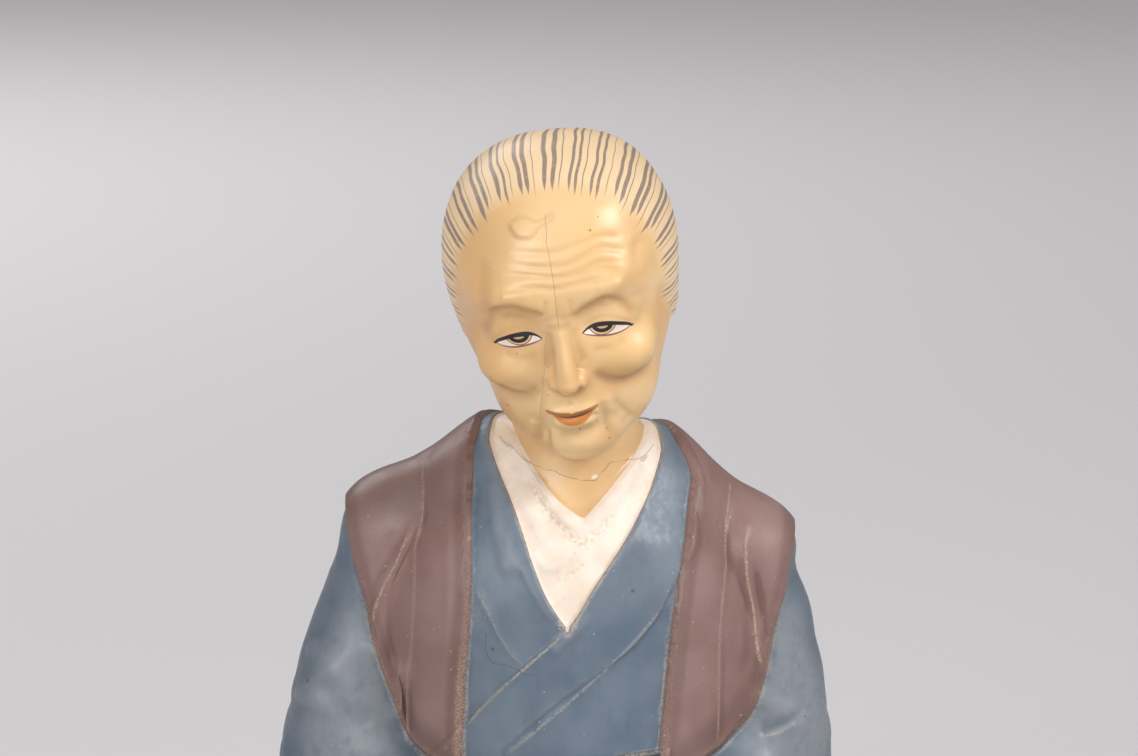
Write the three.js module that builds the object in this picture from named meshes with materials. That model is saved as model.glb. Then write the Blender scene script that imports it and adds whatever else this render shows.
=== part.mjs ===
// A Hakata doll: an elderly woman seated on her heels, on a black-lacquered plinth.
// Millimetres, +Z up. She faces -Y, and the origin is the centre of the plinth's underside.
import * as THREE from 'three';

// Driving dimensions of the figure
const figureHeight = 230;         // from the flat underside of the robe to the crown
const vestThickness = 1.7;        // step from the kimono up to the over-vest
const collarThickness = 1.1;      // step from the under-collar up to the kimono's collar band
const bandThickness = 0.6;        // step from the kimono up to its sewn collar band
const underCollarThickness = 0.9; // step from the skin up to the white under-collar
const sashThickness = 1.2;        // step from the kimono up to the sash
const edgeRun = 0.8;              // run of each modelled step

// Driving dimensions of the plinth
const plinthMargin = 13;          // plinth that shows beyond the robe all round
const plinthHeight = 16;
const plinthCorner = 8;           // corner radius in plan
const footHeight = 3;
const footInset = 3.5;
const bevelHeight = 3;            // sloped upper edge
const bevelInset = 3.5;
const cornerSides = 4;
const restGap = 0.3;              // between the robe's underside and the plinth's top

// The figure is drawn this high, and each of its units is this long
const drawnHeight = 230.668;
const unit = figureHeight / drawnHeight;

// Small vector and shape helpers. A shape gives the distance to its surface, negative inside.
const clamp = THREE.MathUtils.clamp;
const degrees = THREE.MathUtils.degToRad;
const add = (p, q) => [p[0] + q[0], p[1] + q[1], p[2] + q[2]];
const sub = (p, q) => [p[0] - q[0], p[1] - q[1], p[2] - q[2]];
const times = (p, s) => [p[0] * s, p[1] * s, p[2] * s];
const mix = (p, q, t) => add(times(p, 1 - t), times(q, t));
const dot = (p, q) => p[0] * q[0] + p[1] * q[1] + p[2] * q[2];
const size = (p) => Math.hypot(p[0], p[1], p[2]);

const join = (a, b, blend) => {
  const near = Math.max(blend - Math.abs(a - b), 0) / blend;
  return Math.min(a, b) - near * near * blend / 4;
};
const meet = (a, b, blend) => -join(-a, -b, blend);

const ellipsoid = (p, centre, radii) => {
  const q = sub(p, centre);
  const scaled = [q[0] / radii[0], q[1] / radii[1], q[2] / radii[2]];
  const far = size(scaled);
  const slope = Math.hypot(scaled[0] / radii[0], scaled[1] / radii[1], scaled[2] / radii[2]);
  return slope < 1e-9 ? -Math.min(...radii) : far * (far - 1) / slope;
};

const limb = (p, from, to, fromRadius, toRadius) => {
  const line = sub(to, from);
  const t = clamp(dot(sub(p, from), line) / dot(line, line), 0, 1);
  return size(sub(p, mix(from, to, t))) - fromRadius - t * (toRadius - fromRadius);
};

const turnAbout = (q, heading) => {
  const c = Math.cos(heading);
  const s = Math.sin(heading);
  return [c * q[0] + s * q[1], c * q[1] - s * q[0], q[2]];
};

const roundedBlock = (p, centre, half, round) => {
  const q = sub(p, centre).map((value, axis) => Math.abs(value) - half[axis] + round);
  return size(q.map((value) => Math.max(value, 0))) + Math.min(Math.max(...q), 0) - round;
};

// The head has its own axes: a to her left, b to the back, c to the crown, with 0 between the eyes
const headCentre = [-1.2, -16, 194.3];
const headBow = degrees(19);
const headTurn = degrees(-3.5);
const headLean = degrees(-8);
const headAxes = new THREE.Matrix4().makeRotationFromEuler(
  new THREE.Euler(headBow, headLean, headTurn, 'YZX'));
const headBack = headAxes.clone().transpose();

const inHead = (p) => new THREE.Vector3(...sub(p, headCentre)).applyMatrix4(headBack).toArray();
const fromHead = (q) => add(new THREE.Vector3(...q).applyMatrix4(headAxes).toArray(), headCentre);

const mirrored = (q, middle = 0) => [Math.abs(q[0] - middle), q[1], q[2]];
const knotPlace = [0, 30.5, -5];
const skull = (q) => {
  const m = mirrored(q);
  const nose = mirrored(q, -0.4);
  let d = ellipsoid(q, [0, 1.5, 5], [27.4, 31, 30.8]);
  d = join(d, ellipsoid(mirrored(q, 0.7), [7, 3, 11.5], [18, 25, 20.9]), 6);  // broad crown
  d = join(d, ellipsoid(q, [0, -7.5, -13], [20, 20.5, 20.5]), 8);   // cheekbones
  d = join(d, ellipsoid(q, [0, -20.5, 9.5], [18, 7.6, 5.5]), 7);    // brow
  d = meet(d, -ellipsoid(m, [10.4, -33.7, 2.2], [8.2, 7, 6.4]), 2.5); // eye sockets
  d = join(d, ellipsoid(m, [10.2, -21.6, 2.2], [7.8, 6, 6]), 1.6);  // lids
  d = join(d, ellipsoid(m, [9.4, -25.7, 11], [6.4, 3.8, 2.6]), 3);  // rolls of the brow
  d = join(d, ellipsoid(m, [12.2, -19.4, -8.2], [8.9, 9, 6.8]), 3); // cheeks
  d = join(d, ellipsoid(q, [-0.4, -22, -19.5], [9.6, 7.6, 8.5]), 4); // mouth
  d = join(d, ellipsoid(q, [-0.5, -15, -29], [13, 9, 7]), 5);          // jaw
  d = join(d, ellipsoid(q, [0, -21.4, -29], [8.6, 7.3, 6.2]), 4);   // chin
  d = join(d, ellipsoid(m, [11.4, -13.5, -21], [6.8, 8, 8]), 5);    // jowls
  d = join(d, limb(nose, [0, -28.2, 4], [0, -31.6, -10.6], 1.4, 2.7), 1.7);
  d = join(d, ellipsoid(nose, [2.9, -29, -11.2], [1.8, 2.8, 2.3]), 1.2);
  d = join(d, ellipsoid(q, [-0.5, -28.8, -19.2], [6, 1.6, 1.3]), 1.4);  // lips
  d = join(d, ellipsoid(q, [-0.5, -28.4, -22], [4.6, 1.9, 1.6]), 1.4);
  d = join(d, ellipsoid(m, [23.6, 1.5, -4], [2.6, 6, 9]), 2);       // ears
  d = join(d, ellipsoid(q, knotPlace, [9.5, 7.5, 8.5]), 2.5);       // knot of hair
  return d;
};

// Places that more than one form of the body uses
const throat = [2.5, -3, 138];
const napes = { right: [-13, 2, 144], left: [15.5, 2, 141.8] };
const shoulders = { right: [-41.5, 4, 130.5], left: [42, 4, 124.5] };
const upperArms = { right: [-49.2, 5, 89], left: [44.6, 5, 93] };
const elbows = { right: [-53.5, 6, 74], left: [48.4, 6, 72] };
const wrists = { right: [-15, -38, 48], left: [15, -39, 50] };
const sleeveHeading = degrees(-63);

const trunk = (p) => {
  let d = ellipsoid(p, [0, 0, 112], [41, 27, 42]);
  d = join(d, ellipsoid(p, [0, 1, 76], [37, 29, 36]), 12);
  d = join(d, limb(p, napes.right, napes.left, 13, 13), 8);
  for (const side of ['right', 'left']) {
    d = join(d, limb(p, napes[side], shoulders[side], 13, 10), 5);
  }
  return d;
};

const lowerRobe = (p) => {
  let d = roundedBlock(p, [0, -3, 14], [48, 53, 22], 18);          // skirt down to the floor
  d = join(d, ellipsoid(p, [0, 19, 38], [40, 31, 30]), 12);        // seat
  d = join(d, limb(mirrored(p), [18, 12, 28], [27, -42, 25], 22, 20), 8); // thighs to knees
  return d;
};

const arms = (p) => {
  let d = Infinity;
  for (const [side, sign] of [['right', -1], ['left', 1]]) {
    d = join(d, limb(p, shoulders[side], elbows[side], 10, 13.6), 4);
    d = join(d, ellipsoid(p, upperArms[side], [15.6, 13.5, 30]), 4);
    d = join(d, forearm(p, side, sign), 8);
  }
  return d;
};

const forearm = (p, side, sign) => {
  const wrist = wrists[side];
  const elbow = elbows[side];
  const hanging = add(mix(elbow, wrist, 0.3), [sign * 1.6, 0, -24]);
  const d = limb(p, elbow, wrist, 13, 9);
  const along = turnAbout(sub(p, hanging), -sign * sleeveHeading);
  return join(d, roundedBlock(along, [0, 0, 0], [27, 12, 31], 11.5), 12);
};

const hands = (p) => {
  let d = Infinity;
  for (const sign of [-1, 1]) {
    const palm = [sign * 6, -46 - sign, 47 + sign * 2];
    d = join(d, ellipsoid(p, palm, [9.5, 6.5, 5]), 1.5);
    for (let finger = 0; finger < 4; finger += 1) {
      const knuckle = add(palm, [-sign * 4, -4.5 + finger * 2.9, 1.5]);
      d = join(d, limb(p, knuckle, add(knuckle, [-sign * 9, -2, -4]), 2.3, 1.8), 0.8);
    }
  }
  return d;
};

const feet = (p) => ellipsoid(mirrored(p), [11.5, 42, 4], [10, 18, 8.5]);

const neck = (p) => limb(p, fromHead([0, 5, -17]), throat, 14, 15);

const figure = (p) => {
  let d = join(trunk(p), lowerRobe(p), 10);
  d = join(d, arms(p), 7);
  d = join(d, feet(p), 4);
  d = join(d, hands(p), 2);
  d = join(d, neck(p), 6);
  d = join(d, skull(inHead(p)), 4);
  return meet(d, -p[2], 2.5);                                      // flat underside
};

// Smooth curve through [height, x] pairs, read as x at a height
const edgeCurve = (pairs) => (z) => {
  const last = pairs.length - 1;
  if (z >= pairs[0][0]) return pairs[0][1];
  if (z <= pairs[last][0]) return pairs[last][1];
  let i = 0;
  while (z < pairs[i + 1][0]) i += 1;
  const slopeAt = (k) => {
    const a = pairs[Math.max(k - 1, 0)];
    const b = pairs[Math.min(k + 1, last)];
    return (b[1] - a[1]) / (b[0] - a[0]);
  };
  const h = pairs[i + 1][0] - pairs[i][0];
  const t = (z - pairs[i][0]) / h;
  const [y0, y1] = [pairs[i][1], pairs[i + 1][1]];
  return y0 * (1 + 2 * t) * (1 - t) ** 2 + y1 * t * t * (3 - 2 * t)
    + h * (slopeAt(i) * t * (1 - t) ** 2 - slopeAt(i + 1) * t * t * (1 - t));
};

// Edges of the garments on the front, her right side first
const vestEdge = {
  right: edgeCurve([[160, -21.4], [143, -21.9], [120, -22.3], [96, -23.7], [60, -23.7]]),
  left: edgeCurve([[156, 26.6], [148, 28], [138, 26.8], [120, 24.2], [106, 22.6], [83, 20.4], [60, 18]]),
};
const armhole = {
  right: edgeCurve([[142, 52.5], [130, 51], [116, 48.6], [104, 46.8], [92, 43.2], [79, 38.5]]),
  left: edgeCurve([[136, 53], [130, 52.4], [118, 50.8], [106, 48.4], [92, 45.4], [80, 40.2]]),
};
const collarEdge = {
  right: edgeCurve([[160, -17.9], [154, -18.1], [138, -11.5], [122, -5.6], [115, -1.4], [113, 0.5]]),
  left: edgeCurve([[158, 21.6], [149, 20.2], [136, 14.3], [122, 4.9], [114, -0.2], [103, -11.5],
    [89.5, -23.3], [80, -31]]),
};
const underCollarEdge = {
  right: edgeCurve([[160.7, -15], [152.7, -10.3], [143, -3.3], [138, 3.3]]),
  left: edgeCurve([[160.7, 19.5], [153.7, 16.7], [145.2, 10.1], [138, 3.3]]),
};
const bandEdge = edgeCurve([[130, 28.4], [110.6, 16.7], [95.4, -2.1], [83.3, -15]]);

// The front edges turn at the neck's side into rings that slope down behind it
const collarTurn = -4;
const napeHeight = 150;
const napeSlope = 0.8;
const napeRing = { vest: 18, collar: 12, underCollar: 10 };
const sideHeight = 158;
const bandTop = 140;
const sashTop = 82;
const sashTilt = 0.07;
const tuckedUnder = 2;            // sash that runs on below the vest's edge
const creaseSlope = 0.3;

// How far a point lies outside the opening between a right and a left edge
const outsideOpening = (p, edges, ring, foot) => {
  const from = edges.right(p[2]);
  const to = edges.left(p[2]);
  const front = Math.max(Math.abs(p[0] - (from + to) / 2) - Math.max((to - from) / 2, 0),
    (foot - p[2]) * 0.8);
  const sideFrom = edges.right(sideHeight);
  const sideTo = edges.left(sideHeight);
  const out = Math.hypot(p[0] - (sideFrom + sideTo) / 2, p[1] - collarTurn);
  const behind = clamp((p[1] - collarTurn) / 16, 0, 1);
  const sideRing = (sideTo - sideFrom) / 2 - napeSlope * (sideHeight - napeHeight);
  const back = out - napeSlope * (p[2] - napeHeight) - THREE.MathUtils.lerp(sideRing, ring, behind);
  const turn = THREE.MathUtils.smoothstep(p[1], collarTurn - 4, collarTurn + 6);
  return Math.min(THREE.MathUtils.lerp(front, back, turn), skull(inHead(p)) - 2.5);
};

const sideOf = (p) => (p[0] < 0 ? 'right' : 'left');
const vestHem = (p) => 24 + 30 * clamp((30 - p[1]) / 50, 0, 1);

// Positive on the trunk above the arms and lap, where its clothes run out gently
const aboveLap = (p) => {
  const lap = Math.min(forearm(p, sideOf(p), Math.sign(p[0]) || 1), lowerRobe(p) + 2);
  return creaseSlope * (lap - trunk(p));
};

// Positive inside each garment's own area
const vestArea = (p) => Math.min(
  outsideOpening(p, vestEdge, napeRing.vest, 0),
  armhole[sideOf(p)](p[2]) - Math.abs(p[0]),
  p[2] - vestHem(p),
  aboveLap(p),
);
const sashArea = (p) => {
  const open = Math.min(p[0] - vestEdge.right(p[2]), vestEdge.left(p[2]) - p[0]);
  return Math.min(sashTop + sashTilt * p[0] - p[2], open + tuckedUnder, -p[1], aboveLap(p));
};
const collarArea = (p) => outsideOpening(p, collarEdge, napeRing.collar, 113);
const underCollarArea = (p) => outsideOpening(p, underCollarEdge, napeRing.underCollar, 138);
const bandArea = (p) => {
  const across = Math.min(p[0] - collarEdge.left(p[2]), bandEdge(p[2]) - p[0]);
  return Math.min(across, (bandTop - p[2]) * 0.1, -p[1], forearm(p, sideOf(p), 1) - 3);
};

const garments = [
  { area: underCollarArea, step: underCollarThickness },
  { area: collarArea, step: collarThickness },
  { area: bandArea, step: bandThickness },
  { area: sashArea, step: sashThickness, onLap: true },
  { area: vestArea, step: vestThickness, onLap: true },
];

// Folds and seams pressed into the cloth. Each is seen from one side: a line of points there,
// the height of the ridge, negative for a groove, and its half width.
const views = {
  front: { shows: (p) => p[1] < 0 && p[2] > 62, flat: (p) => [p[0], p[2]] },
  back: { shows: (p) => p[1] > 0 && p[2] > 30, flat: (p) => [p[0], p[2]] },
  lap: { shows: (p) => p[1] < -5 && p[2] < 60 && p[2] > 34, flat: (p) => [p[0], p[1]] },
  skirt: { shows: (p) => p[1] < -30 && p[2] < 40, flat: (p) => [p[0], p[2]] },
  train: { shows: (p) => p[1] > 25 && p[2] < 50, flat: (p) => [p[0], p[2]] },
  rightSleeve: { shows: (p) => p[0] < -46, flat: (p) => [p[1], p[2]] },
  leftSleeve: { shows: (p) => p[0] > 46, flat: (p) => [p[1], p[2]] },
};
const folds = [
  { view: 'front', line: [[-36, 132], [-41, 120], [-46, 104]], height: 1.3, width: 3 },
  { view: 'front', line: [[41.1, 131], [42.3, 117], [46, 100]], height: 1.3, width: 3 },
  { view: 'front', line: [[-38.3, 99], [-42.2, 88]], height: 0.9, width: 2.5 },
  { view: 'front', line: [[-53, 103], [-61, 92]], height: 1, width: 3 },
  { view: 'front', line: [[47, 92], [55, 86]], height: 1, width: 3 },
  { view: 'front', line: [[-32.5, 152], [-34.5, 118], [-36, 84]], height: -0.5, width: 1.6 },
  { view: 'front', line: [[37.5, 146], [34.8, 120], [33.2, 84]], height: -0.5, width: 1.6 },
  { view: 'back', line: [[2, 148], [1, 100], [0, 34]], height: -0.6, width: 1.8 },
  { view: 'back', line: [[-30, 122], [-33, 100], [-24, 72]], height: 1, width: 4 },
  { view: 'back', line: [[29, 116], [31, 96], [22, 68]], height: 1, width: 4 },
  { view: 'lap', line: [[-14, -30], [-20, -44], [-22, -58]], height: 1.4, width: 2.6 },
  { view: 'lap', line: [[8, -24], [20, -40], [27, -56]], height: 1, width: 4 },
  { view: 'skirt', line: [[-22, 40], [-19, 20], [-14, 0]], height: 1.5, width: 2.4 },
  { view: 'skirt', line: [[2, 36], [0, 16], [4, 0]], height: -1.2, width: 5 },
  { view: 'skirt', line: [[30, 36], [22, 16], [20, 0]], height: 1.1, width: 3.4 },
  { view: 'skirt', line: [[-36, 32], [-33, 14], [-35, 0]], height: 1, width: 3 },
  { view: 'train', line: [[-30, 50], [-38, 26], [-40, 4]], height: 1.2, width: 4 },
  { view: 'train', line: [[30, 50], [37, 26], [41, 4]], height: 1.2, width: 4 },
  { view: 'rightSleeve', line: [[10, 84], [-4, 62], [-24, 38]], height: 1.3, width: 3 },
  { view: 'rightSleeve', line: [[14, 74], [8, 54], [-4, 30]], height: 1.1, width: 3 },
  { view: 'leftSleeve', line: [[10, 82], [-2, 64], [-26, 42]], height: 1.3, width: 3 },
  { view: 'leftSleeve', line: [[14, 72], [9, 52], [-2, 28]], height: 1.1, width: 3 },
];

const distanceToLine = (x, z, line) => {
  let best = Infinity;
  for (let i = 0; i + 1 < line.length; i += 1) {
    const [ax, az] = line[i];
    const [dx, dz] = [line[i + 1][0] - ax, line[i + 1][1] - az];
    const t = clamp(((x - ax) * dx + (z - az) * dz) / (dx * dx + dz * dz), 0, 1);
    best = Math.min(best, Math.hypot(x - ax - t * dx, z - az - t * dz));
  }
  return best;
};

// Height of the modelled clothes over the plain form, with the steps at their real size
const relief = (p) => {
  const clearOfHead = skull(inHead(p)) > 3;
  const worn = THREE.MathUtils.smoothstep(p[2], 55, 85);            // fades out at the lap
  let height = 0;
  for (const { area, step, onLap } of garments) {
    height += (onLap ? 1 : worn) * step / unit * clamp(area(p) * unit / edgeRun, 0, 1);
  }
  for (const fold of folds) {
    const { shows, flat } = views[fold.view];
    if (clearOfHead && shows(p)) {
      height += fold.height * Math.exp(-((distanceToLine(...flat(p), fold.line) / fold.width) ** 2));
    }
  }
  return height * THREE.MathUtils.smoothstep(p[2], 1, 8);           // the underside stays flat
};

// Meshing. The surface is found on a grid, drawn onto the form, and refined where it is carved.
const slope = (p, field) => {
  const e = 0.05;
  return [0, 1, 2].map((axis) => {
    const ahead = [...p];
    const behind = [...p];
    ahead[axis] += e;
    behind[axis] -= e;
    return (field(ahead) - field(behind)) / (2 * e);
  });
};

const settle = (p, field, reach) => {
  let q = p;
  for (let step = 0; step < 3; step += 1) {
    const g = slope(q, field);
    const steep = Math.max(dot(g, g), 0.05);
    q = sub(q, times(g, clamp(field(q) / steep, -reach, reach)));
  }
  return q;
};

const surfaceOnGrid = (field, low, high, cell) => {
  const count = [0, 1, 2].map((axis) => Math.ceil((high[axis] - low[axis]) / cell) + 1);
  const at = (i, j, k) => (k * count[1] + j) * count[0] + i;
  const place = (i, j, k) => [low[0] + i * cell, low[1] + j * cell, low[2] + k * cell];
  const value = new Float64Array(count[0] * count[1] * count[2]);
  for (let k = 0; k < count[2]; k += 1) {
    for (let j = 0; j < count[1]; j += 1) {
      for (let i = 0; i < count[0]; i += 1) value[at(i, j, k)] = field(place(i, j, k));
    }
  }
  const stride = [1, count[0], count[0] * count[1]];
  closeSmallGaps(value, count, at, stride);

  const points = [];
  const inCell = new Map();
  const vertexIn = (i, j, k) => {
    const key = at(i, j, k);
    if (inCell.has(key)) return inCell.get(key);
    let sum = [0, 0, 0];
    let crossings = 0;
    for (let axis = 0; axis < 3; axis += 1) {
      for (let corner = 0; corner < 8; corner += 1) {
        if (corner & (1 << axis)) continue;
        const from = [i + (corner & 1), j + ((corner >> 1) & 1), k + ((corner >> 2) & 1)];
        const a = value[at(...from)];
        const b = value[at(...from) + stride[axis]];
        if ((a < 0) === (b < 0)) continue;
        const p = place(...from);
        p[axis] += cell * a / (a - b);
        sum = add(sum, p);
        crossings += 1;
      }
    }
    inCell.set(key, points.push(times(sum, 1 / crossings)) - 1);
    return points.length - 1;
  };

  const faces = [];
  for (let k = 1; k < count[2] - 1; k += 1) {
    for (let j = 1; j < count[1] - 1; j += 1) {
      for (let i = 1; i < count[0] - 1; i += 1) {
        const here = value[at(i, j, k)] < 0;
        for (let axis = 0; axis < 3; axis += 1) {
          if (here === (value[at(i, j, k) + stride[axis]] < 0)) continue;
          const u = [0, 0, 0];
          const v = [0, 0, 0];
          u[(axis + 1) % 3] = 1;
          v[(axis + 2) % 3] = 1;
          const ring = [[0, 0], [1, 0], [1, 1], [0, 1]].map(([s, t]) => vertexIn(
            i - s * u[0] - t * v[0], j - s * u[1] - t * v[1], k - s * u[2] - t * v[2]));
          if (!here) ring.reverse();
          const [a, b, c, d] = ring;
          const short = size(sub(points[a], points[c])) < size(sub(points[b], points[d]));
          faces.push(...(short ? [[a, b, c], [a, c, d]] : [[b, c, d], [b, d, a]]));
        }
      }
    }
  }
  return { points, faces };
};

// Fills gaps narrower than the grid, so that the surface stays one closed skin
const closeSmallGaps = (value, count, at, stride) => {
  const fill = -1e-3;
  for (let changed = true; changed;) {
    changed = false;
    for (let k = 0; k < count[2] - 1; k += 1) {
      for (let j = 0; j < count[1] - 1; j += 1) {
        for (let i = 0; i < count[0] - 1; i += 1) {
          const base = at(i, j, k);
          for (const [u, v] of [[0, 1], [1, 2], [2, 0]]) {
            const ring = [base, base + stride[u], base + stride[u] + stride[v], base + stride[v]];
            const inside = ring.map((n) => value[n] < 0);
            if (inside[0] !== inside[2] || inside[1] !== inside[3] || inside[0] === inside[1]) continue;
            const open = ring.filter((n) => value[n] >= 0);
            value[value[open[0]] < value[open[1]] ? open[0] : open[1]] = fill;
            changed = true;
          }
          const corners = [0, 1, 2, 3, 4, 5, 6, 7].map((c) => base + (c & 1) * stride[0]
            + ((c >> 1) & 1) * stride[1] + ((c >> 2) & 1) * stride[2]);
          for (let c = 0; c < 4; c += 1) {
            const pair = [corners[c], corners[7 - c]];
            const others = corners.filter((n) => !pair.includes(n));
            const lone = (sign) => pair.every((n) => (value[n] < 0) === sign)
              && others.every((n) => (value[n] < 0) !== sign);
            if (lone(true) || lone(false)) {
              for (const n of lone(true) ? others.slice(0, 1) : pair) value[n] = fill;
              changed = true;
            }
          }
        }
      }
    }
  }
};

// Cuts the edges that cutAt picks, at the share that it gives, and splits the triangles to fit
const cutEdges = (mesh, cutAt) => {
  const cuts = new Map();
  const cutOf = (i, j) => {
    const [a, b] = i < j ? [i, j] : [j, i];
    const key = `${a} ${b}`;
    if (!cuts.has(key)) {
      const share = cutAt(a, b);
      const made = share === null ? -1
        : mesh.points.push(mix(mesh.points[a], mesh.points[b], share)) - 1;
      cuts.set(key, made);
    }
    return cuts.get(key);
  };
  const faces = [];
  for (const face of mesh.faces) {
    let [a, b, c] = face;
    let [ab, bc, ca] = [cutOf(a, b), cutOf(b, c), cutOf(c, a)];
    const number = [ab, bc, ca].filter((n) => n >= 0).length;
    if (number === 0) {
      faces.push(face);
    } else if (number === 3) {
      faces.push([a, ab, ca], [ab, b, bc], [ca, bc, c], [ab, bc, ca]);
    } else {
      while (number === 1 ? ab < 0 : ca >= 0) {
        [a, b, c] = [b, c, a];
        [ab, bc, ca] = [bc, ca, ab];
      }
      if (number === 1) {
        faces.push([a, ab, c], [ab, b, c]);
      } else {
        const { points } = mesh;
        const short = size(sub(points[a], points[bc])) < size(sub(points[ab], points[c]));
        faces.push([ab, b, bc], ...(short ? [[a, ab, bc], [a, bc, c]] : [[a, ab, c], [ab, bc, c]]));
      }
    }
  }
  mesh.faces = faces;
};

const evenOut = (mesh, field, reach) => {
  const sums = mesh.points.map(() => [0, 0, 0, 0]);
  for (const face of mesh.faces) {
    for (let n = 0; n < 3; n += 1) {
      const p = mesh.points[face[(n + 1) % 3]];
      const sum = sums[face[n]];
      for (let axis = 0; axis < 3; axis += 1) sum[axis] += p[axis];
      sum[3] += 1;
    }
  }
  mesh.points = mesh.points.map((p, n) => settle(
    mix(p, times(sums[n], 1 / sums[n][3]), 0.6), field, reach));
};

const refine = (mesh, field, edgeLength) => {
  const old = mesh.points.length;
  cutEdges(mesh, (i, j) => {
    const [p, q] = [mesh.points[i], mesh.points[j]];
    return size(sub(p, q)) > 1.4 * edgeLength(mix(p, q, 0.5)) ? 0.5 : null;
  });
  for (let n = old; n < mesh.points.length; n += 1) mesh.points[n] = settle(mesh.points[n], field, 2);
  return mesh.points.length > old;
};

// Runs a line of edges along the rim of an area, and pulls vertices that lie close onto it
const drawRim = (mesh, area, level, fixed) => {
  const g = mesh.points.map((p) => area(p) - level);
  const snap = 0.22;
  const nearest = new Map();
  for (const face of mesh.faces) {
    for (let n = 0; n < 3; n += 1) {
      const [i, j] = [face[n], face[(n + 1) % 3]];
      if (g[i] < 0 === g[j] < 0) continue;
      for (const [from, to] of [[i, j], [j, i]]) {
        const share = g[from] / (g[from] - g[to]);
        if (share < snap && !fixed.has(from) && share < (nearest.get(from)?.share ?? 1)) {
          nearest.set(from, { share, to });
        }
      }
    }
  }
  const before = mesh.points.map((p) => p);
  for (const [n, { share, to }] of nearest) {
    mesh.points[n] = mix(before[n], before[to], share);
    g[n] = 0;
    fixed.add(n);
  }
  cutEdges(mesh, (i, j) => {
    if (g[i] * g[j] >= 0) return null;
    return clamp(g[i] / (g[i] - g[j]), 0.02, 0.98);
  });
  for (let n = g.length; n < mesh.points.length; n += 1) fixed.add(n);
};

const edgeLength = (p) => {
  const [a, b, c] = inHead(p);
  if (size([a, b, c - 5]) < 42) {
    const face = b < -14 && c < 12 && Math.abs(a) < 17;
    const knot = size(sub([a, b, c], knotPlace)) < 12;
    return face ? 2.25 : knot ? 3.8 : 5.1;
  }
  if (hands(p) < 3) return 2.8;
  if (feet(p) < 3) return 4;
  return 7.6;
};

const figureMesh = () => {
  const mesh = surfaceOnGrid(figure, [-80, -84, -7], [80, 74, 240], 6);
  for (let pass = 0; pass < 2; pass += 1) evenOut(mesh, figure, 2);
  for (let pass = 0; pass < 3 && refine(mesh, figure, edgeLength); pass += 1) evenOut(mesh, figure, 1);
  const fixed = new Set();
  for (const { area } of garments) {
    drawRim(mesh, area, 0, fixed);
    drawRim(mesh, area, edgeRun / unit, fixed);
  }
  mesh.points = mesh.points.map((p) => {
    const g = slope(p, figure);
    return add(p, times(g, relief(p) / Math.max(size(g), 0.2)));
  });
  return mesh;
};

const solidOf = ({ points, faces }, scale) => {
  const geometry = new THREE.BufferGeometry();
  geometry.setAttribute('position', new THREE.Float32BufferAttribute(points.flat(), 3));
  geometry.setIndex(faces.flat());
  geometry.scale(scale, scale, scale);
  geometry.computeVertexNormals();
  return geometry;
};

const piece = (name, geometry, colour, roughness) => {
  const material = new THREE.MeshStandardMaterial({ color: colour, roughness, metalness: 0 });
  const mesh = new THREE.Mesh(geometry, material);
  mesh.name = name;
  return mesh;
};

const doll = piece('doll', solidOf(figureMesh(), unit), 0x6b8499, 0.5);
doll.geometry.computeBoundingBox();
const robe = doll.geometry.boundingBox;

// The plinth is a stack of rounded rectangles: [inset from the full size, height]
const plinthHalf = {
  x: Math.max(robe.max.x, -robe.min.x) + plinthMargin,
  y: (robe.max.y - robe.min.y) / 2 + plinthMargin,
};
const plinthLevels = [
  [footInset, 0],
  [footInset, footHeight],
  [0, footHeight],
  [0, plinthHeight - bevelHeight],
  [bevelInset, plinthHeight],
];

const plinthOutline = (inset) => {
  const corners = [[1, 1], [-1, 1], [-1, -1], [1, -1]];
  const radius = plinthCorner;
  return corners.flatMap(([sx, sy], quarter) => Array.from({ length: cornerSides + 1 }, (_, n) => {
    const angle = (quarter + n / cornerSides) * Math.PI / 2;
    return [
      sx * (plinthHalf.x - radius) + (radius - inset) * Math.cos(angle),
      sy * (plinthHalf.y - radius) + (radius - inset) * Math.sin(angle),
    ];
  }));
};

const plinthMesh = () => {
  const rings = plinthLevels.map(([inset, z]) => plinthOutline(inset).map(([x, y]) => [x, y, z]));
  const points = rings.flat();
  const around = rings[0].length;
  const faces = [];
  for (let level = 0; level + 1 < rings.length; level += 1) {
    for (let n = 0; n < around; n += 1) {
      const a = level * around + n;
      const b = level * around + (n + 1) % around;
      faces.push([a, b, b + around], [a, b + around, a + around]);
    }
  }
  const top = (rings.length - 1) * around;
  for (let n = 1; n + 1 < around; n += 1) {
    faces.push([0, n + 1, n], [top, top + n, top + n + 1]);
  }
  return { points, faces };
};

const plinth = piece('plinth', solidOf(plinthMesh(), 1), 0x17120f, 0.25);
doll.position.set(0, -(robe.max.y + robe.min.y) / 2, plinthHeight + restGap - robe.min.z);

const model = new THREE.Group();
model.add(doll, plinth);

export default model;
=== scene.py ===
from math import cos, sin, radians, pi

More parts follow.
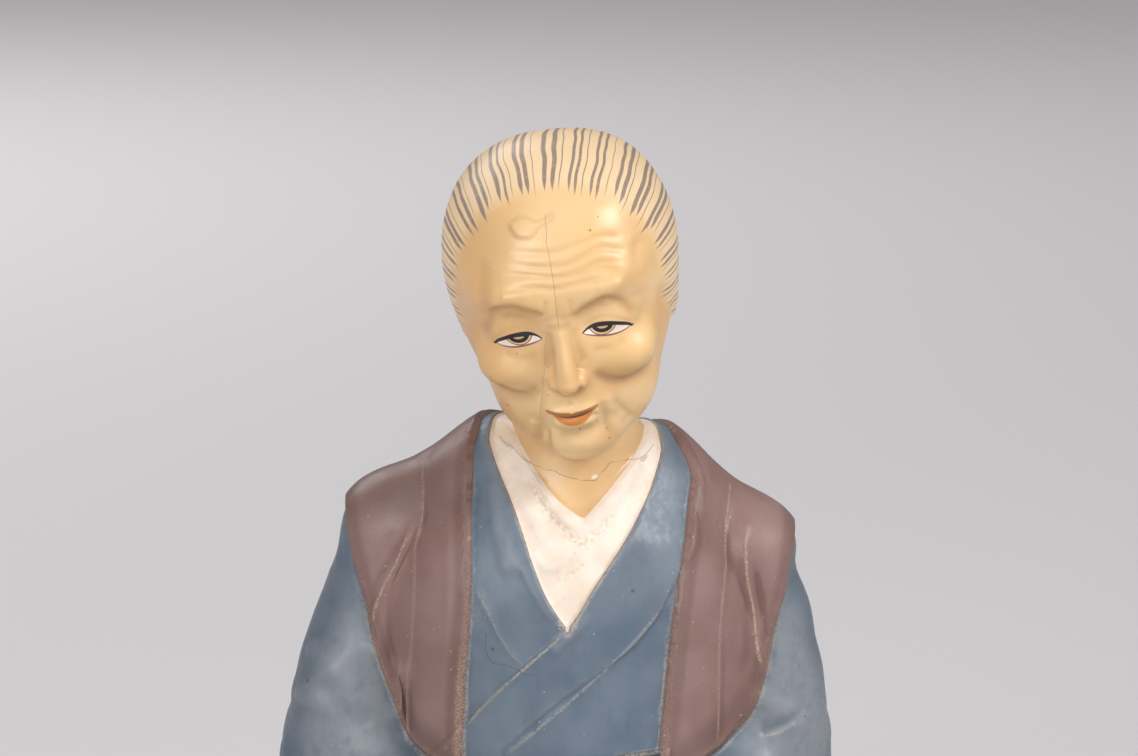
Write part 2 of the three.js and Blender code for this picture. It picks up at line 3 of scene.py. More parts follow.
import bpy
import numpy as np
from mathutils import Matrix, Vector


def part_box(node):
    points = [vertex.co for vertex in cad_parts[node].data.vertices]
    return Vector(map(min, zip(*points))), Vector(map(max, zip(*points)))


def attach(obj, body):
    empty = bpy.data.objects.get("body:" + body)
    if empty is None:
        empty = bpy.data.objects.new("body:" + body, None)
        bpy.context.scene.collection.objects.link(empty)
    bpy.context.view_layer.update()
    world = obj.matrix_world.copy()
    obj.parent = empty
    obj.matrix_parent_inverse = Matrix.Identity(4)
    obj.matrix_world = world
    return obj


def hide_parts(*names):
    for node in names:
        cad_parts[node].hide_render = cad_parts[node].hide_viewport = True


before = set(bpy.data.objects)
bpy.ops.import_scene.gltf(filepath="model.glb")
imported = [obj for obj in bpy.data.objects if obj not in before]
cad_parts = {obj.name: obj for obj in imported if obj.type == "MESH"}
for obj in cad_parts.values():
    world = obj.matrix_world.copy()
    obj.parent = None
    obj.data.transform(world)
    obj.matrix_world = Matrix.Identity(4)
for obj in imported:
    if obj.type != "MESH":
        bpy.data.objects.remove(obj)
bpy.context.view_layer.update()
print("frame loaded")

mm = 0.001

# The figure is drawn in millimetres, with z up from the flat underside of the robe, and she faces -y.
# A form takes a 3 x N array of places and gives the distance to its surface, negative inside.
dollSizes = {
    "vestStep": 1.7,
    "collarStep": 1.1,
    "bandStep": 0.6,
    "underCollarStep": 0.9,
    "sashStep": 1.2,
    "edgeRun": 0.8,         # how far in from its edge a garment reaches its full step
    "stepFades": (55, 85),  # heights between which the garments' steps grow from nothing, off the lap
    "crownDrop": 0.7,
    "crownFrom": (25, 34),
    "footFrom": (1, 8),     # no carving at the very foot, where the figure stands
    "lapBelow": 80,
    "smoothings": 6,        # rounds of smoothing that tell hollows from ridges
    "gridCell": 3.2,
    "gridLow": (-80, -84, -7),
    "gridHigh": (80, 74, 240),
    "frontEdge": 1.15,      # wanted length of the mesh's edges, from here on
    "bodyEdge": 1.9,
    "handEdge": 0.9,
    "headEdge": 0.95,
    "faceEdge": 0.5,
}


def column(values):
    return np.asarray(values, float).reshape(3, 1)


def length(q):
    return np.sqrt((q * q).sum(0))


def smooth(value, low, high):
    t = np.clip((value - low) / (high - low), 0, 1)
    return t * t * (3 - 2 * t)


def lerp(a, b, t):
    return a + (b - a) * t


def ridge(distance, width):
    return np.exp(-(distance / width) ** 2)


def taper(share, run):
    # 1 along a line, and falling to 0 over this share of it at both ends
    return smooth(share, 0, run) * smooth(1 - share, 0, run)


def join(a, b, blend):
    near = np.maximum(blend - np.abs(a - b), 0) / blend
    return np.minimum(a, b) - near * near * blend / 4


def meet(a, b, blend):
    return -join(-a, -b, blend)


def ellipsoid(p, centre, radii):
    scaled = (p - column(centre)) / column(radii)
    far = length(scaled)
    slope = length(scaled / column(radii))
    return np.where(slope < 1e-9, -min(radii), far * (far - 1) / np.maximum(slope, 1e-9))


def limb(p, start, end, startRadius, endRadius):
    line = column(end) - column(start)
    q = p - column(start)
    t = np.clip((q * line).sum(0) / (line * line).sum(), 0, 1)
    return length(q - line * t) - startRadius - t * (endRadius - startRadius)


def roundedBlock(p, centre, half, rounding):
    q = np.abs(p - column(centre)) - column(half) + rounding
    return length(np.maximum(q, 0)) + np.minimum(q.max(0), 0) - rounding


def mirrored(p):
    return np.stack([np.abs(p[0]), p[1], p[2]])


# The head has its own axes: a to her left, b to the back, c to the crown, with 0 between the eyes
headPose = {"centre": (-1.2, -16, 194.3), "bow": 19, "turn": -3.5, "lean": -8}
knotPlace = (0, 30.5, -5)


def turnMatrix(bow, turn, lean):
    rx = np.array([[1, 0, 0], [0, cos(bow), -sin(bow)], [0, sin(bow), cos(bow)]])
    ry = np.array([[cos(lean), 0, sin(lean)], [0, 1, 0], [-sin(lean), 0, cos(lean)]])
    rz = np.array([[cos(turn), -sin(turn), 0], [sin(turn), cos(turn), 0], [0, 0, 1]])
    return ry @ rz @ rx


headAxes = turnMatrix(*(radians(headPose[name]) for name in ("bow", "turn", "lean")))


def inHead(p):
    return headAxes.T @ (p - column(headPose["centre"]))


def fromHead(q):
    return (headAxes @ column(q) + column(headPose["centre"]))[:, 0]


def skull(q):
    m = mirrored(q)
    crown = mirrored(q - column((0.7, 0, 0)))
    nose = mirrored(q + column((0.4, 0, 0)))
    d = ellipsoid(q, (0, 1.5, 5), (27.4, 31, 30.8))
    d = join(d, ellipsoid(crown, (7, 3, 11.5), (18, 25, 20.9)), 6)
    d = join(d, ellipsoid(q, (0, -7.5, -13), (20, 20.5, 20.5)), 8)      # cheekbones
    d = join(d, ellipsoid(q, (0, -20.5, 9.5), (18, 7.6, 5.5)), 7)       # brow
    d = meet(d, -ellipsoid(m, (10.4, -33.7, 2.2), (8.2, 7, 6.4)), 2.5)  # eye sockets
    d = join(d, ellipsoid(m, (10.2, -21.6, 2.2), (7.8, 6, 6)), 1.6)     # lids
    d = join(d, ellipsoid(m, (9.4, -25.7, 11), (6.4, 3.8, 2.6)), 3)     # rolls of the brow
    d = join(d, ellipsoid(m, (12.2, -19.4, -8.2), (8.9, 9, 6.8)), 3)    # cheeks
    d = join(d, ellipsoid(q, (-0.4, -22, -19.5), (9.6, 7.6, 8.5)), 4)   # mouth
    d = join(d, ellipsoid(q, (-0.5, -15, -29), (13, 9, 7)), 5)          # jaw
    d = join(d, ellipsoid(q, (0, -21.4, -29), (8.6, 7.3, 6.2)), 4)      # chin
    d = join(d, ellipsoid(m, (11.4, -13.5, -21), (6.8, 8, 8)), 5)       # jowls
    d = join(d, limb(nose, (0, -28.2, 4), (0, -31.6, -10.6), 1.4, 2.7), 1.7)
    d = join(d, ellipsoid(nose, (2.9, -29, -11.2), (1.8, 2.8, 2.3)), 1.2)
    d = join(d, ellipsoid(q, (-0.5, -28.8, -19.2), (6, 1.6, 1.3)), 1.4)  # lips
    d = join(d, ellipsoid(q, (-0.5, -28.4, -22), (4.6, 1.9, 1.6)), 1.4)
    d = join(d, ellipsoid(m, (23.6, 1.5, -4), (2.6, 6, 9)), 2)          # ears
    return join(d, ellipsoid(q, knotPlace, (9.5, 7.5, 8.5)), 2.5)       # knot of hair


# Places on the body that more than one form uses
throat = (2.5, -3, 138)
napes = {"right": (-13, 2, 144), "left": (15.5, 2, 141.8)}
shoulders = {"right": (-41.5, 4, 130.5), "left": (42, 4, 124.5)}
upperArms = {"right": (-49.2, 5, 89), "left": (44.6, 5, 93)}
elbows = {"right": (-53.5, 6, 74), "left": (48.4, 6, 72)}
wrists = {"right": (-15, -38, 48), "left": (15, -39, 50)}
sides = {"right": -1, "left": 1}
sleeveHeading = radians(-63)


def trunk(p):
    d = ellipsoid(p, (0, 0, 112), (41, 27, 42))
    d = join(d, ellipsoid(p, (0, 1, 76), (37, 29, 36)), 12)
    d = join(d, limb(p, napes["right"], napes["left"], 13, 13), 8)
    for side in sides:
        d = join(d, limb(p, napes[side], shoulders[side], 13, 10), 5)
    return d


def lowerRobe(p):
    d = roundedBlock(p, (0, -3, 14), (48, 53, 22), 18)
    d = join(d, ellipsoid(p, (0, 19, 38), (40, 31, 30)), 12)
    return join(d, limb(mirrored(p), (18, 12, 28), (27, -42, 25), 22, 20), 8)


def forearm(p, side):
    wrist, elbow, sign = np.array(wrists[side]), np.array(elbows[side]), sides[side]
    hanging = elbow * 0.7 + wrist * 0.3 + [sign * 1.6, 0, -24]
    heading = -sign * sleeveHeading
    q = p - column(hanging)
    along = np.stack([
        cos(heading) * q[0] + sin(heading) * q[1],
        cos(heading) * q[1] - sin(heading) * q[0],
        q[2],
    ])
    return join(limb(p, elbow, wrist, 13, 9), roundedBlock(along, (0, 0, 0), (27, 12, 31), 11.5), 12)


def arms(p):
    d = np.full(p.shape[1], 1e3)
    for side in sides:
        d = join(d, limb(p, shoulders[side], elbows[side], 10, 13.6), 4)
        d = join(d, ellipsoid(p, upperArms[side], (15.6, 13.5, 30)), 4)
        d = join(d, forearm(p, side), 8)
    return d


def hands(p):
    d = np.full(p.shape[1], 1e3)
    for sign in (-1, 1):
        palm = np.array([sign * 6, -46 - sign, 47 + sign * 2])
        d = join(d, ellipsoid(p, palm, (9.5, 6.5, 5)), 1.5)
        for finger in range(4):
            knuckle = palm + [-sign * 4, -4.5 + finger * 2.9, 1.5]
            d = join(d, limb(p, knuckle, knuckle + [-sign * 9, -2, -4], 2.3, 1.8), 0.8)
    return d


def feet(p):
    return ellipsoid(mirrored(p), (11.5, 42, 4), (10, 18, 8.5))


def figure(p):
    d = join(trunk(p), lowerRobe(p), 10)
    d = join(d, arms(p), 7)
    d = join(d, feet(p), 4)
    d = join(d, hands(p), 2)
    high = p[2] > 118
    top = p[:, high]
    neck = limb(top, fromHead((0, 5, -17)), throat, 14, 15)
    d[high] = join(join(d[high], neck, 6), skull(inHead(top)), 4)
    return meet(d, -p[2], 2.5)


def edgeCurve(pairs):
    # Smooth curve through (height, x) pairs, read as x at a height
    z, x = np.array(sorted(pairs), float).T
    before = np.maximum(np.arange(len(z)) - 1, 0)
    after = np.minimum(np.arange(len(z)) + 1, len(z) - 1)
    slope = (x[after] - x[before]) / (z[after] - z[before])

    def at(height):
        h = np.clip(height, z[0], z[-1])
        i = np.clip(np.searchsorted(z, h, side="right") - 1, 0, len(z) - 2)
        run = z[i + 1] - z[i]
        t = (h - z[i]) / run
        return (x[i] * (1 + 2 * t) * (1 - t) ** 2 + x[i + 1] * t * t * (3 - 2 * t)
                + run * (slope[i] * t * (1 - t) ** 2 - slope[i + 1] * t * t * (1 - t)))
    return at


# Edges of the garments on the front
vestEdge = {
    "right": edgeCurve([(160, -21.4), (143, -21.9), (120, -22.3), (96, -23.7), (60, -23.7)]),
    "left": edgeCurve([(156, 26.6), (148, 28), (138, 26.8), (120, 24.2), (106, 22.6), (83, 20.4), (60, 18)]),
}
armhole = {
    "right": edgeCurve([(142, 52.5), (130, 51), (116, 48.6), (104, 46.8), (92, 43.2), (79, 38.5)]),
    "left": edgeCurve([(136, 53), (130, 52.4), (118, 50.8), (106, 48.4), (92, 45.4), (80, 40.2)]),
}
collarEdge = {
    "right": edgeCurve([(160, -17.9), (154, -18.1), (138, -11.5), (122, -5.6), (115, -1.4), (113, 0.5)]),
    "left": edgeCurve([(158, 21.6), (149, 20.2), (136, 14.3), (122, 4.9), (114, -0.2), (103, -11.5),
                       (89.5, -23.3), (80, -31)]),
}
underCollarEdge = {
    "right": edgeCurve([(160.7, -15), (152.7, -10.3), (143, -3.3), (138, 3.3)]),
    "left": edgeCurve([(160.7, 19.5), (153.7, 16.7), (145.2, 10.1), (138, 3.3)]),
}
bandEdge = edgeCurve([(130, 28.4), (110.6, 16.7), (95.4, -2.1), (83.3, -15)])
neckline = {"turn": -4, "ease": (4, 6), "depth": 16, "napeHeight": 150, "slope": 0.8, "sideHeight": 158}
vestHem = {"height": 24, "rise": 30, "from": 30, "run": 50}     # it rises from the back to the front
bandTop, sashTop, sashTilt, tuckedUnder, creaseSlope = 140, 82, 0.07, 2, 0.3


def outsideOpening(p, edges, ring, foot):
    x, y, z = p
    left, right = edges["left"](z), edges["right"](z)
    front = np.maximum(np.abs(x - (left + right) / 2) - np.maximum((left - right) / 2, 0), (foot - z) * 0.8)
    sideLeft, sideRight = (edges[side](neckline["sideHeight"]) for side in ("left", "right"))
    out = np.hypot(x - (sideLeft + sideRight) / 2, y - neckline["turn"])
    behind = np.clip((y - neckline["turn"]) / neckline["depth"], 0, 1)
    rise = neckline["sideHeight"] - neckline["napeHeight"]
    sideRing = (sideLeft - sideRight) / 2 - neckline["slope"] * rise
    back = out - neckline["slope"] * (z - neckline["napeHeight"]) - lerp(sideRing, ring, behind)
    before, after = neckline["ease"]
    turn = smooth(y, neckline["turn"] - before, neckline["turn"] + after)
    return np.minimum(lerp(front, back, turn), skull(inHead(p)) - 2.5)


def eachSide(p, rightValue, leftValue):
    return np.where(p[0] < 0, rightValue, leftValue)


def ownForearm(p):
    return eachSide(p, forearm(p, "right"), forearm(p, "left"))


def aboveLap(p):
    return creaseSlope * (np.minimum(ownForearm(p), lowerRobe(p) + 2) - trunk(p))


def vestArea(p):
    x, y, z = p
    sleeveless = eachSide(p, armhole["right"](z), armhole["left"](z)) - np.abs(x)
    forward = np.clip((vestHem["from"] - y) / vestHem["run"], 0, 1)
    hem = z - vestHem["height"] - vestHem["rise"] * forward
    return np.minimum.reduce([outsideOpening(p, vestEdge, 18, 0), sleeveless, hem, aboveLap(p)])


def sashArea(p):
    x, y, z = p
    opening = np.minimum(x - vestEdge["right"](z), vestEdge["left"](z) - x)
    return np.minimum.reduce([sashTop + sashTilt * x - z, opening + tuckedUnder, -y, aboveLap(p)])


def collarArea(p):
    return outsideOpening(p, collarEdge, 12, 113)


def underCollarArea(p):
    return outsideOpening(p, underCollarEdge, 10, 138)


def bandArea(p):
    x, y, z = p
    across = np.minimum(x - collarEdge["left"](z), bandEdge(z) - x)
    return np.minimum.reduce([across, (bandTop - z) * 0.1, -y, ownForearm(p) - 3])


def handArea(p):
    hand = hands(p)
    return np.minimum(arms(p) - hand, 1.5 - hand)


def footArea(p):
    return lowerRobe(p) - feet(p)


garments = {
    "underCollar": {"area": underCollarArea, "step": dollSizes["underCollarStep"]},
    "collar": {"area": collarArea, "step": dollSizes["collarStep"], "rims": (0, 0.5, 1)},
    "band": {"area": bandArea, "step": dollSizes["bandStep"]},
    "sash": {"area": sashArea, "step": dollSizes["sashStep"], "onLap": True},
    "vest": {"area": vestArea, "step": dollSizes["vestStep"], "onLap": True},
}

# Folds and seams in the cloth. Each is seen from one side: its line there, height and half width
foldViews = {
    "front": {"shows": lambda p: (p[1] < 0) & (p[2] > 62), "flat": (0, 2)},
    "back": {"shows": lambda p: (p[1] > 0) & (p[2] > 30), "flat": (0, 2)},
    "lap": {"shows": lambda p: (p[1] < -5) & (p[2] < 60) & (p[2] > 34), "flat": (0, 1)},
    "skirt": {"shows": lambda p: (p[1] < -30) & (p[2] < 40), "flat": (0, 2)},
    "train": {"shows": lambda p: (p[1] > 25) & (p[2] < 50), "flat": (0, 2)},
    "rightSleeve": {"shows": lambda p: p[0] < -46, "flat": (1, 2)},
    "leftSleeve": {"shows": lambda p: p[0] > 46, "flat": (1, 2)},
}
folds = [
    {"view": "front", "line": [(-36, 132), (-41, 120), (-46, 104)], "height": 1.3, "width": 3},
    {"view": "front", "line": [(41.1, 131), (42.3, 117), (46, 100)], "height": 1.3, "width": 3},
    {"view": "front", "line": [(-38.3, 99), (-42.2, 88)], "height": 0.9, "width": 2.5},
    {"view": "front", "line": [(-53, 103), (-61, 92)], "height": 1, "width": 3},
    {"view": "front", "line": [(47, 92), (55, 86)], "height": 1, "width": 3},
    {"view": "front", "line": [(-32.5, 152), (-34.5, 118), (-36, 84)], "height": -0.5, "width": 1.6},
    {"view": "front", "line": [(37.5, 146), (34.8, 120), (33.2, 84)], "height": -0.5, "width": 1.6},
    {"view": "back", "line": [(2, 148), (1, 100), (0, 34)], "height": -0.6, "width": 1.8},
    {"view": "back", "line": [(-30, 122), (-33, 100), (-24, 72)], "height": 1, "width": 4},
    {"view": "back", "line": [(29, 116), (31, 96), (22, 68)], "height": 1, "width": 4},
    {"view": "lap", "line": [(-14, -30), (-20, -44), (-22, -58)], "height": 1.4, "width": 2.6},
    {"view": "lap", "line": [(8, -24), (20, -40), (27, -56)], "height": 1, "width": 4},
    {"view": "skirt", "line": [(-22, 40), (-19, 20), (-14, 0)], "height": 1.5, "width": 2.4},
    {"view": "skirt", "line": [(2, 36), (0, 16), (4, 0)], "height": -1.2, "width": 5},
    {"view": "skirt", "line": [(30, 36), (22, 16), (20, 0)], "height": 1.1, "width": 3.4},
    {"view": "skirt", "line": [(-36, 32), (-33, 14), (-35, 0)], "height": 1, "width": 3},
    {"view": "train", "line": [(-30, 50), (-38, 26), (-40, 4)], "height": 1.2, "width": 4},
    {"view": "train", "line": [(30, 50), (37, 26), (41, 4)], "height": 1.2, "width": 4},
    {"view": "rightSleeve", "line": [(10, 84), (-4, 62), (-24, 38)], "height": 1.3, "width": 3},
    {"view": "rightSleeve", "line": [(14, 74), (8, 54), (-4, 30)], "height": 1.1, "width": 3},
    {"view": "leftSleeve", "line": [(10, 82), (-2, 64), (-26, 42)], "height": 1.3, "width": 3},
    {"view": "leftSleeve", "line": [(14, 72), (9, 52), (-2, 28)], "height": 1.1, "width": 3},
]

# Swells and hollows of the sleeves' outer sides: (height up the figure, swell, half width)
sleeveSwells = {
    "right": [(120.4, 1.4, 5), (106, -0.5, 6), (90.3, 0.8, 3.5), (77.6, -0.9, 5)],
    "left": [(122.3, -1.3, 4), (104, -1, 6), (87.5, 0.4, 3.5), (73.6, -2.1, 6)],
}
sleeveOuter = (46, 57)      # how far out they begin, and reach their full height


def curveThrough(points, steps=6):
    # A polyline that runs smoothly through a few points
    points = np.array(points, float)
    padded = np.vstack([2 * points[0] - points[1], points, 2 * points[-1] - points[-2]])
    t = np.linspace(0, 1, steps, endpoint=False).reshape(-1, 1)
    pieces = []
    for a, b, c, d in zip(padded, padded[1:], padded[2:], padded[3:]):
        pieces.append(0.5 * (2 * b + (c - a) * t + (2 * a - 5 * b + 4 * c - d) * t ** 2
                             + (3 * b - a - 3 * c + d) * t ** 3))
    return np.vstack(pieces + [points[-1:]])


def lineDistance(x, y, line):
    # Distance to a polyline, the share of its length at the nearest place, and the side of it, 1 or -1
    best = np.full(x.shape, 1e3)
    share, side = np.zeros(x.shape), np.ones(x.shape)
    for n, ((ax, ay), (bx, by)) in enumerate(zip(line, line[1:])):
        dx, dy = bx - ax, by - ay
        t = np.clip(((x - ax) * dx + (y - ay) * dy) / (dx * dx + dy * dy), 0, 1)
        d = np.hypot(x - ax - t * dx, y - ay - t * dy)
        nearer = d < best
        share = np.where(nearer, (n + t) / (len(line) - 1), share)
        side = np.where(nearer, np.where((x - ax) * dy > (y - ay) * dx, 1, -1), side)
        best = np.minimum(best, d)
    return best, share, side


# Seams, creases and rolls in the cloth of the front, finer than the folds, as (x, z) places.
# Dust is how much of it lies on the line. A sharp line gets a row of edges of its own in the mesh.
clothLines = [
    # the vest: lapel seams, pinched folds, the rolls along its inner edges
    {"line": [(-33.3, 151), (-33.6, 137), (-34.7, 114), (-36.1, 95.4), (-37, 80)],
     "height": 0.22, "width": 0.7, "dust": 0.35, "sharp": True},
    {"line": [(38, 148), (37, 143), (35.2, 127.6), (33.7, 112), (33.2, 94), (33.2, 80)],
     "height": 0.22, "width": 0.7, "dust": 0.6, "sharp": True},
    {"line": [(-37.2, 133.5), (-40.4, 126.6), (-42.8, 121.4), (-45.8, 114), (-46.8, 110)],
     "height": 0.6, "width": 0.9, "dust": 0.8, "sharp": True},
    {"line": [(-38.2, 100), (-39.4, 96.6), (-40.6, 94.2), (-42.2, 88)],
     "height": 0.6, "width": 0.9, "dust": 0.5, "sharp": True},
    {"line": [(41, 132), (41.3, 124), (42.3, 116.6), (43.1, 110.2), (44.6, 104.2), (46, 100)],
     "height": 0.7, "width": 0.9, "dust": 1, "sharp": True},
    {"line": [(43.4, 126), (44.8, 117), (46.2, 110), (47.8, 104)], "height": -0.8, "width": 1.5},
    {"line": [(-25.7, 149), (-26.3, 131.5), (-26.6, 115), (-28.6, 84)], "height": 0.4, "width": 1.1},
    {"line": [(29, 150), (30, 143.4), (29.4, 134.6), (27.6, 126)], "height": 0.45, "width": 1.4},
    {"line": [(28, 137), (27.2, 130.6), (26.2, 123), (25.1, 106), (24.2, 90), (23.6, 80)],
     "height": 0.3, "width": 0.8},
    # the kimono: worn lap edges, a sewn seam, the rolls of its collars, creases in the sleeves
    {"line": [(-0.6, 113.2), (-5.2, 108.3), (-13, 100.8), (-18.7, 94.6), (-23.5, 88.2)],
     "height": 0.25, "width": 0.8, "dust": 0.85, "sharp": True},
    {"line": [(24, 120.5), (12, 107.1), (2.8, 98.1), (-6.6, 89.4), (-14.4, 82.4)],
     "height": 0.25, "width": 0.7, "dust": 0.5, "sharp": True},
    {"line": [(-21.4, 122), (-18.6, 116.9), (-15.8, 111.1), (-13, 106.9), (-10.4, 104.4)],
     "height": 0.25, "width": 0.6, "dust": 0.3, "sharp": True},
    {"line": [(-17.4, 146), (-16.8, 140.5), (-15.3, 132.2), (-12.6, 124)], "height": 0.5, "width": 2},
    {"line": [(-14, 136), (-12.5, 130.6), (-9.4, 124.8), (-6.1, 119.3), (-2.4, 114.1)],
     "height": 0.45, "width": 1.1},
    {"line": [(-3.5, 107.4), (-1.9, 109.3), (0.9, 112.2), (6, 118)], "height": 0.45, "width": 1},
    {"line": [(18.6, 146), (15.5, 136), (9, 126)], "height": 0.4, "width": 1.8},
    {"line": [(45.6, 83), (48.5, 84.2), (52, 86), (57, 90)], "height": -0.8, "width": 1.6},
    {"line": [(47, 82.4), (49.5, 83), (51.4, 84), (53.5, 85.6)],
     "height": 0.5, "width": 0.8, "dust": 0.6, "sharp": True},
    {"line": [(-62, 104), (-56, 98.5), (-50, 94)], "height": 0.6, "width": 2.4},
    {"line": [(-60, 96), (-54, 89), (-48, 84)], "height": -0.5, "width": 2.2},
    # the under-collar: its rolled inner edge, the groove behind it, and two soft folds
    {"line": [(-15.4, 157), (-10.6, 150.4), (-5.6, 143.8), (-1.6, 138.6), (3, 135.6), (7, 138.8),
              (12, 143.6), (17, 151)],
     "height": 0.65, "width": 1},
    {"line": [(-10.6, 148), (-6.8, 143.2), (-4.7, 139), (-0.6, 135), (2.8, 132.6), (6.8, 135.2),
              (12, 140.6)],
     "height": -0.7, "width": 0.8, "groove": 0.8},
    {"line": [(-9.9, 132.6), (-6.6, 128.8), (-4.2, 127), (-0.9, 128.9), (1.9, 131.1), (7.5, 135.5),
              (12.6, 141)],
     "height": 0.8, "width": 1.2},
    {"line": [(-13, 148.6), (-9.9, 140.7), (-6.6, 134.6), (-4.4, 130.6)], "height": 0.6, "width": 1.3},
    {"line": [(-3.6, 124), (0, 125.4), (4, 128.4)], "height": -0.35, "width": 1.3, "groove": 0.5},
]
for drawn in clothLines:
    drawn["line"] = curveThrough(drawn["line"])

# Old cracks on the front, as (x, z) places: the break round the neck, and a patch in the robe
breaks = [
    [(-16.5, 155.2), (-15.5, 154.3), (-13.1, 153.7), (-11.6, 152.1), (-8.8, 150.1), (-5.7, 149.3),
     (-3.5, 149), (-0.2, 147.5), (3.8, 146.8), (6.4, 146.9), (8, 149), (9.5, 150.9), (13.3, 151),
     (16.2, 150.6), (18.1, 151.6), (19.8, 153.2)],
    [(-19.1, 111.4), (-19.1, 106.5), (-17.2, 104.2), (-13.9, 104), (-11.6, 103.1), (-9.9, 102.1),
     (-6.6, 102.2)],
]


def jagged(line, step=1.1, reach=0.22, seed=4):
    # The line with small irregular corners, as a crack has
    random = np.random.default_rng(seed)
    points = []
    for start, end in zip(np.array(line)[:-1], np.array(line)[1:]):
        count = max(1, round(np.hypot(*(end - start)) / step))
        for n in range(count):
            points.append(start + (end - start) * n / count + random.uniform(-reach, reach, 2))
    return np.array(points + [np.array(line[-1])])


breaks = [jagged(line) for line in breaks]


def onFront(p):
    return (p[1] < 0) & (p[2] > 74)


def clothGap(p, line):
    # Distance to a line on the front of the robe, signed by its side
    d, _, side = lineDistance(p[0], p[2], line)
    return np.where(onFront(p), d * side, 9)


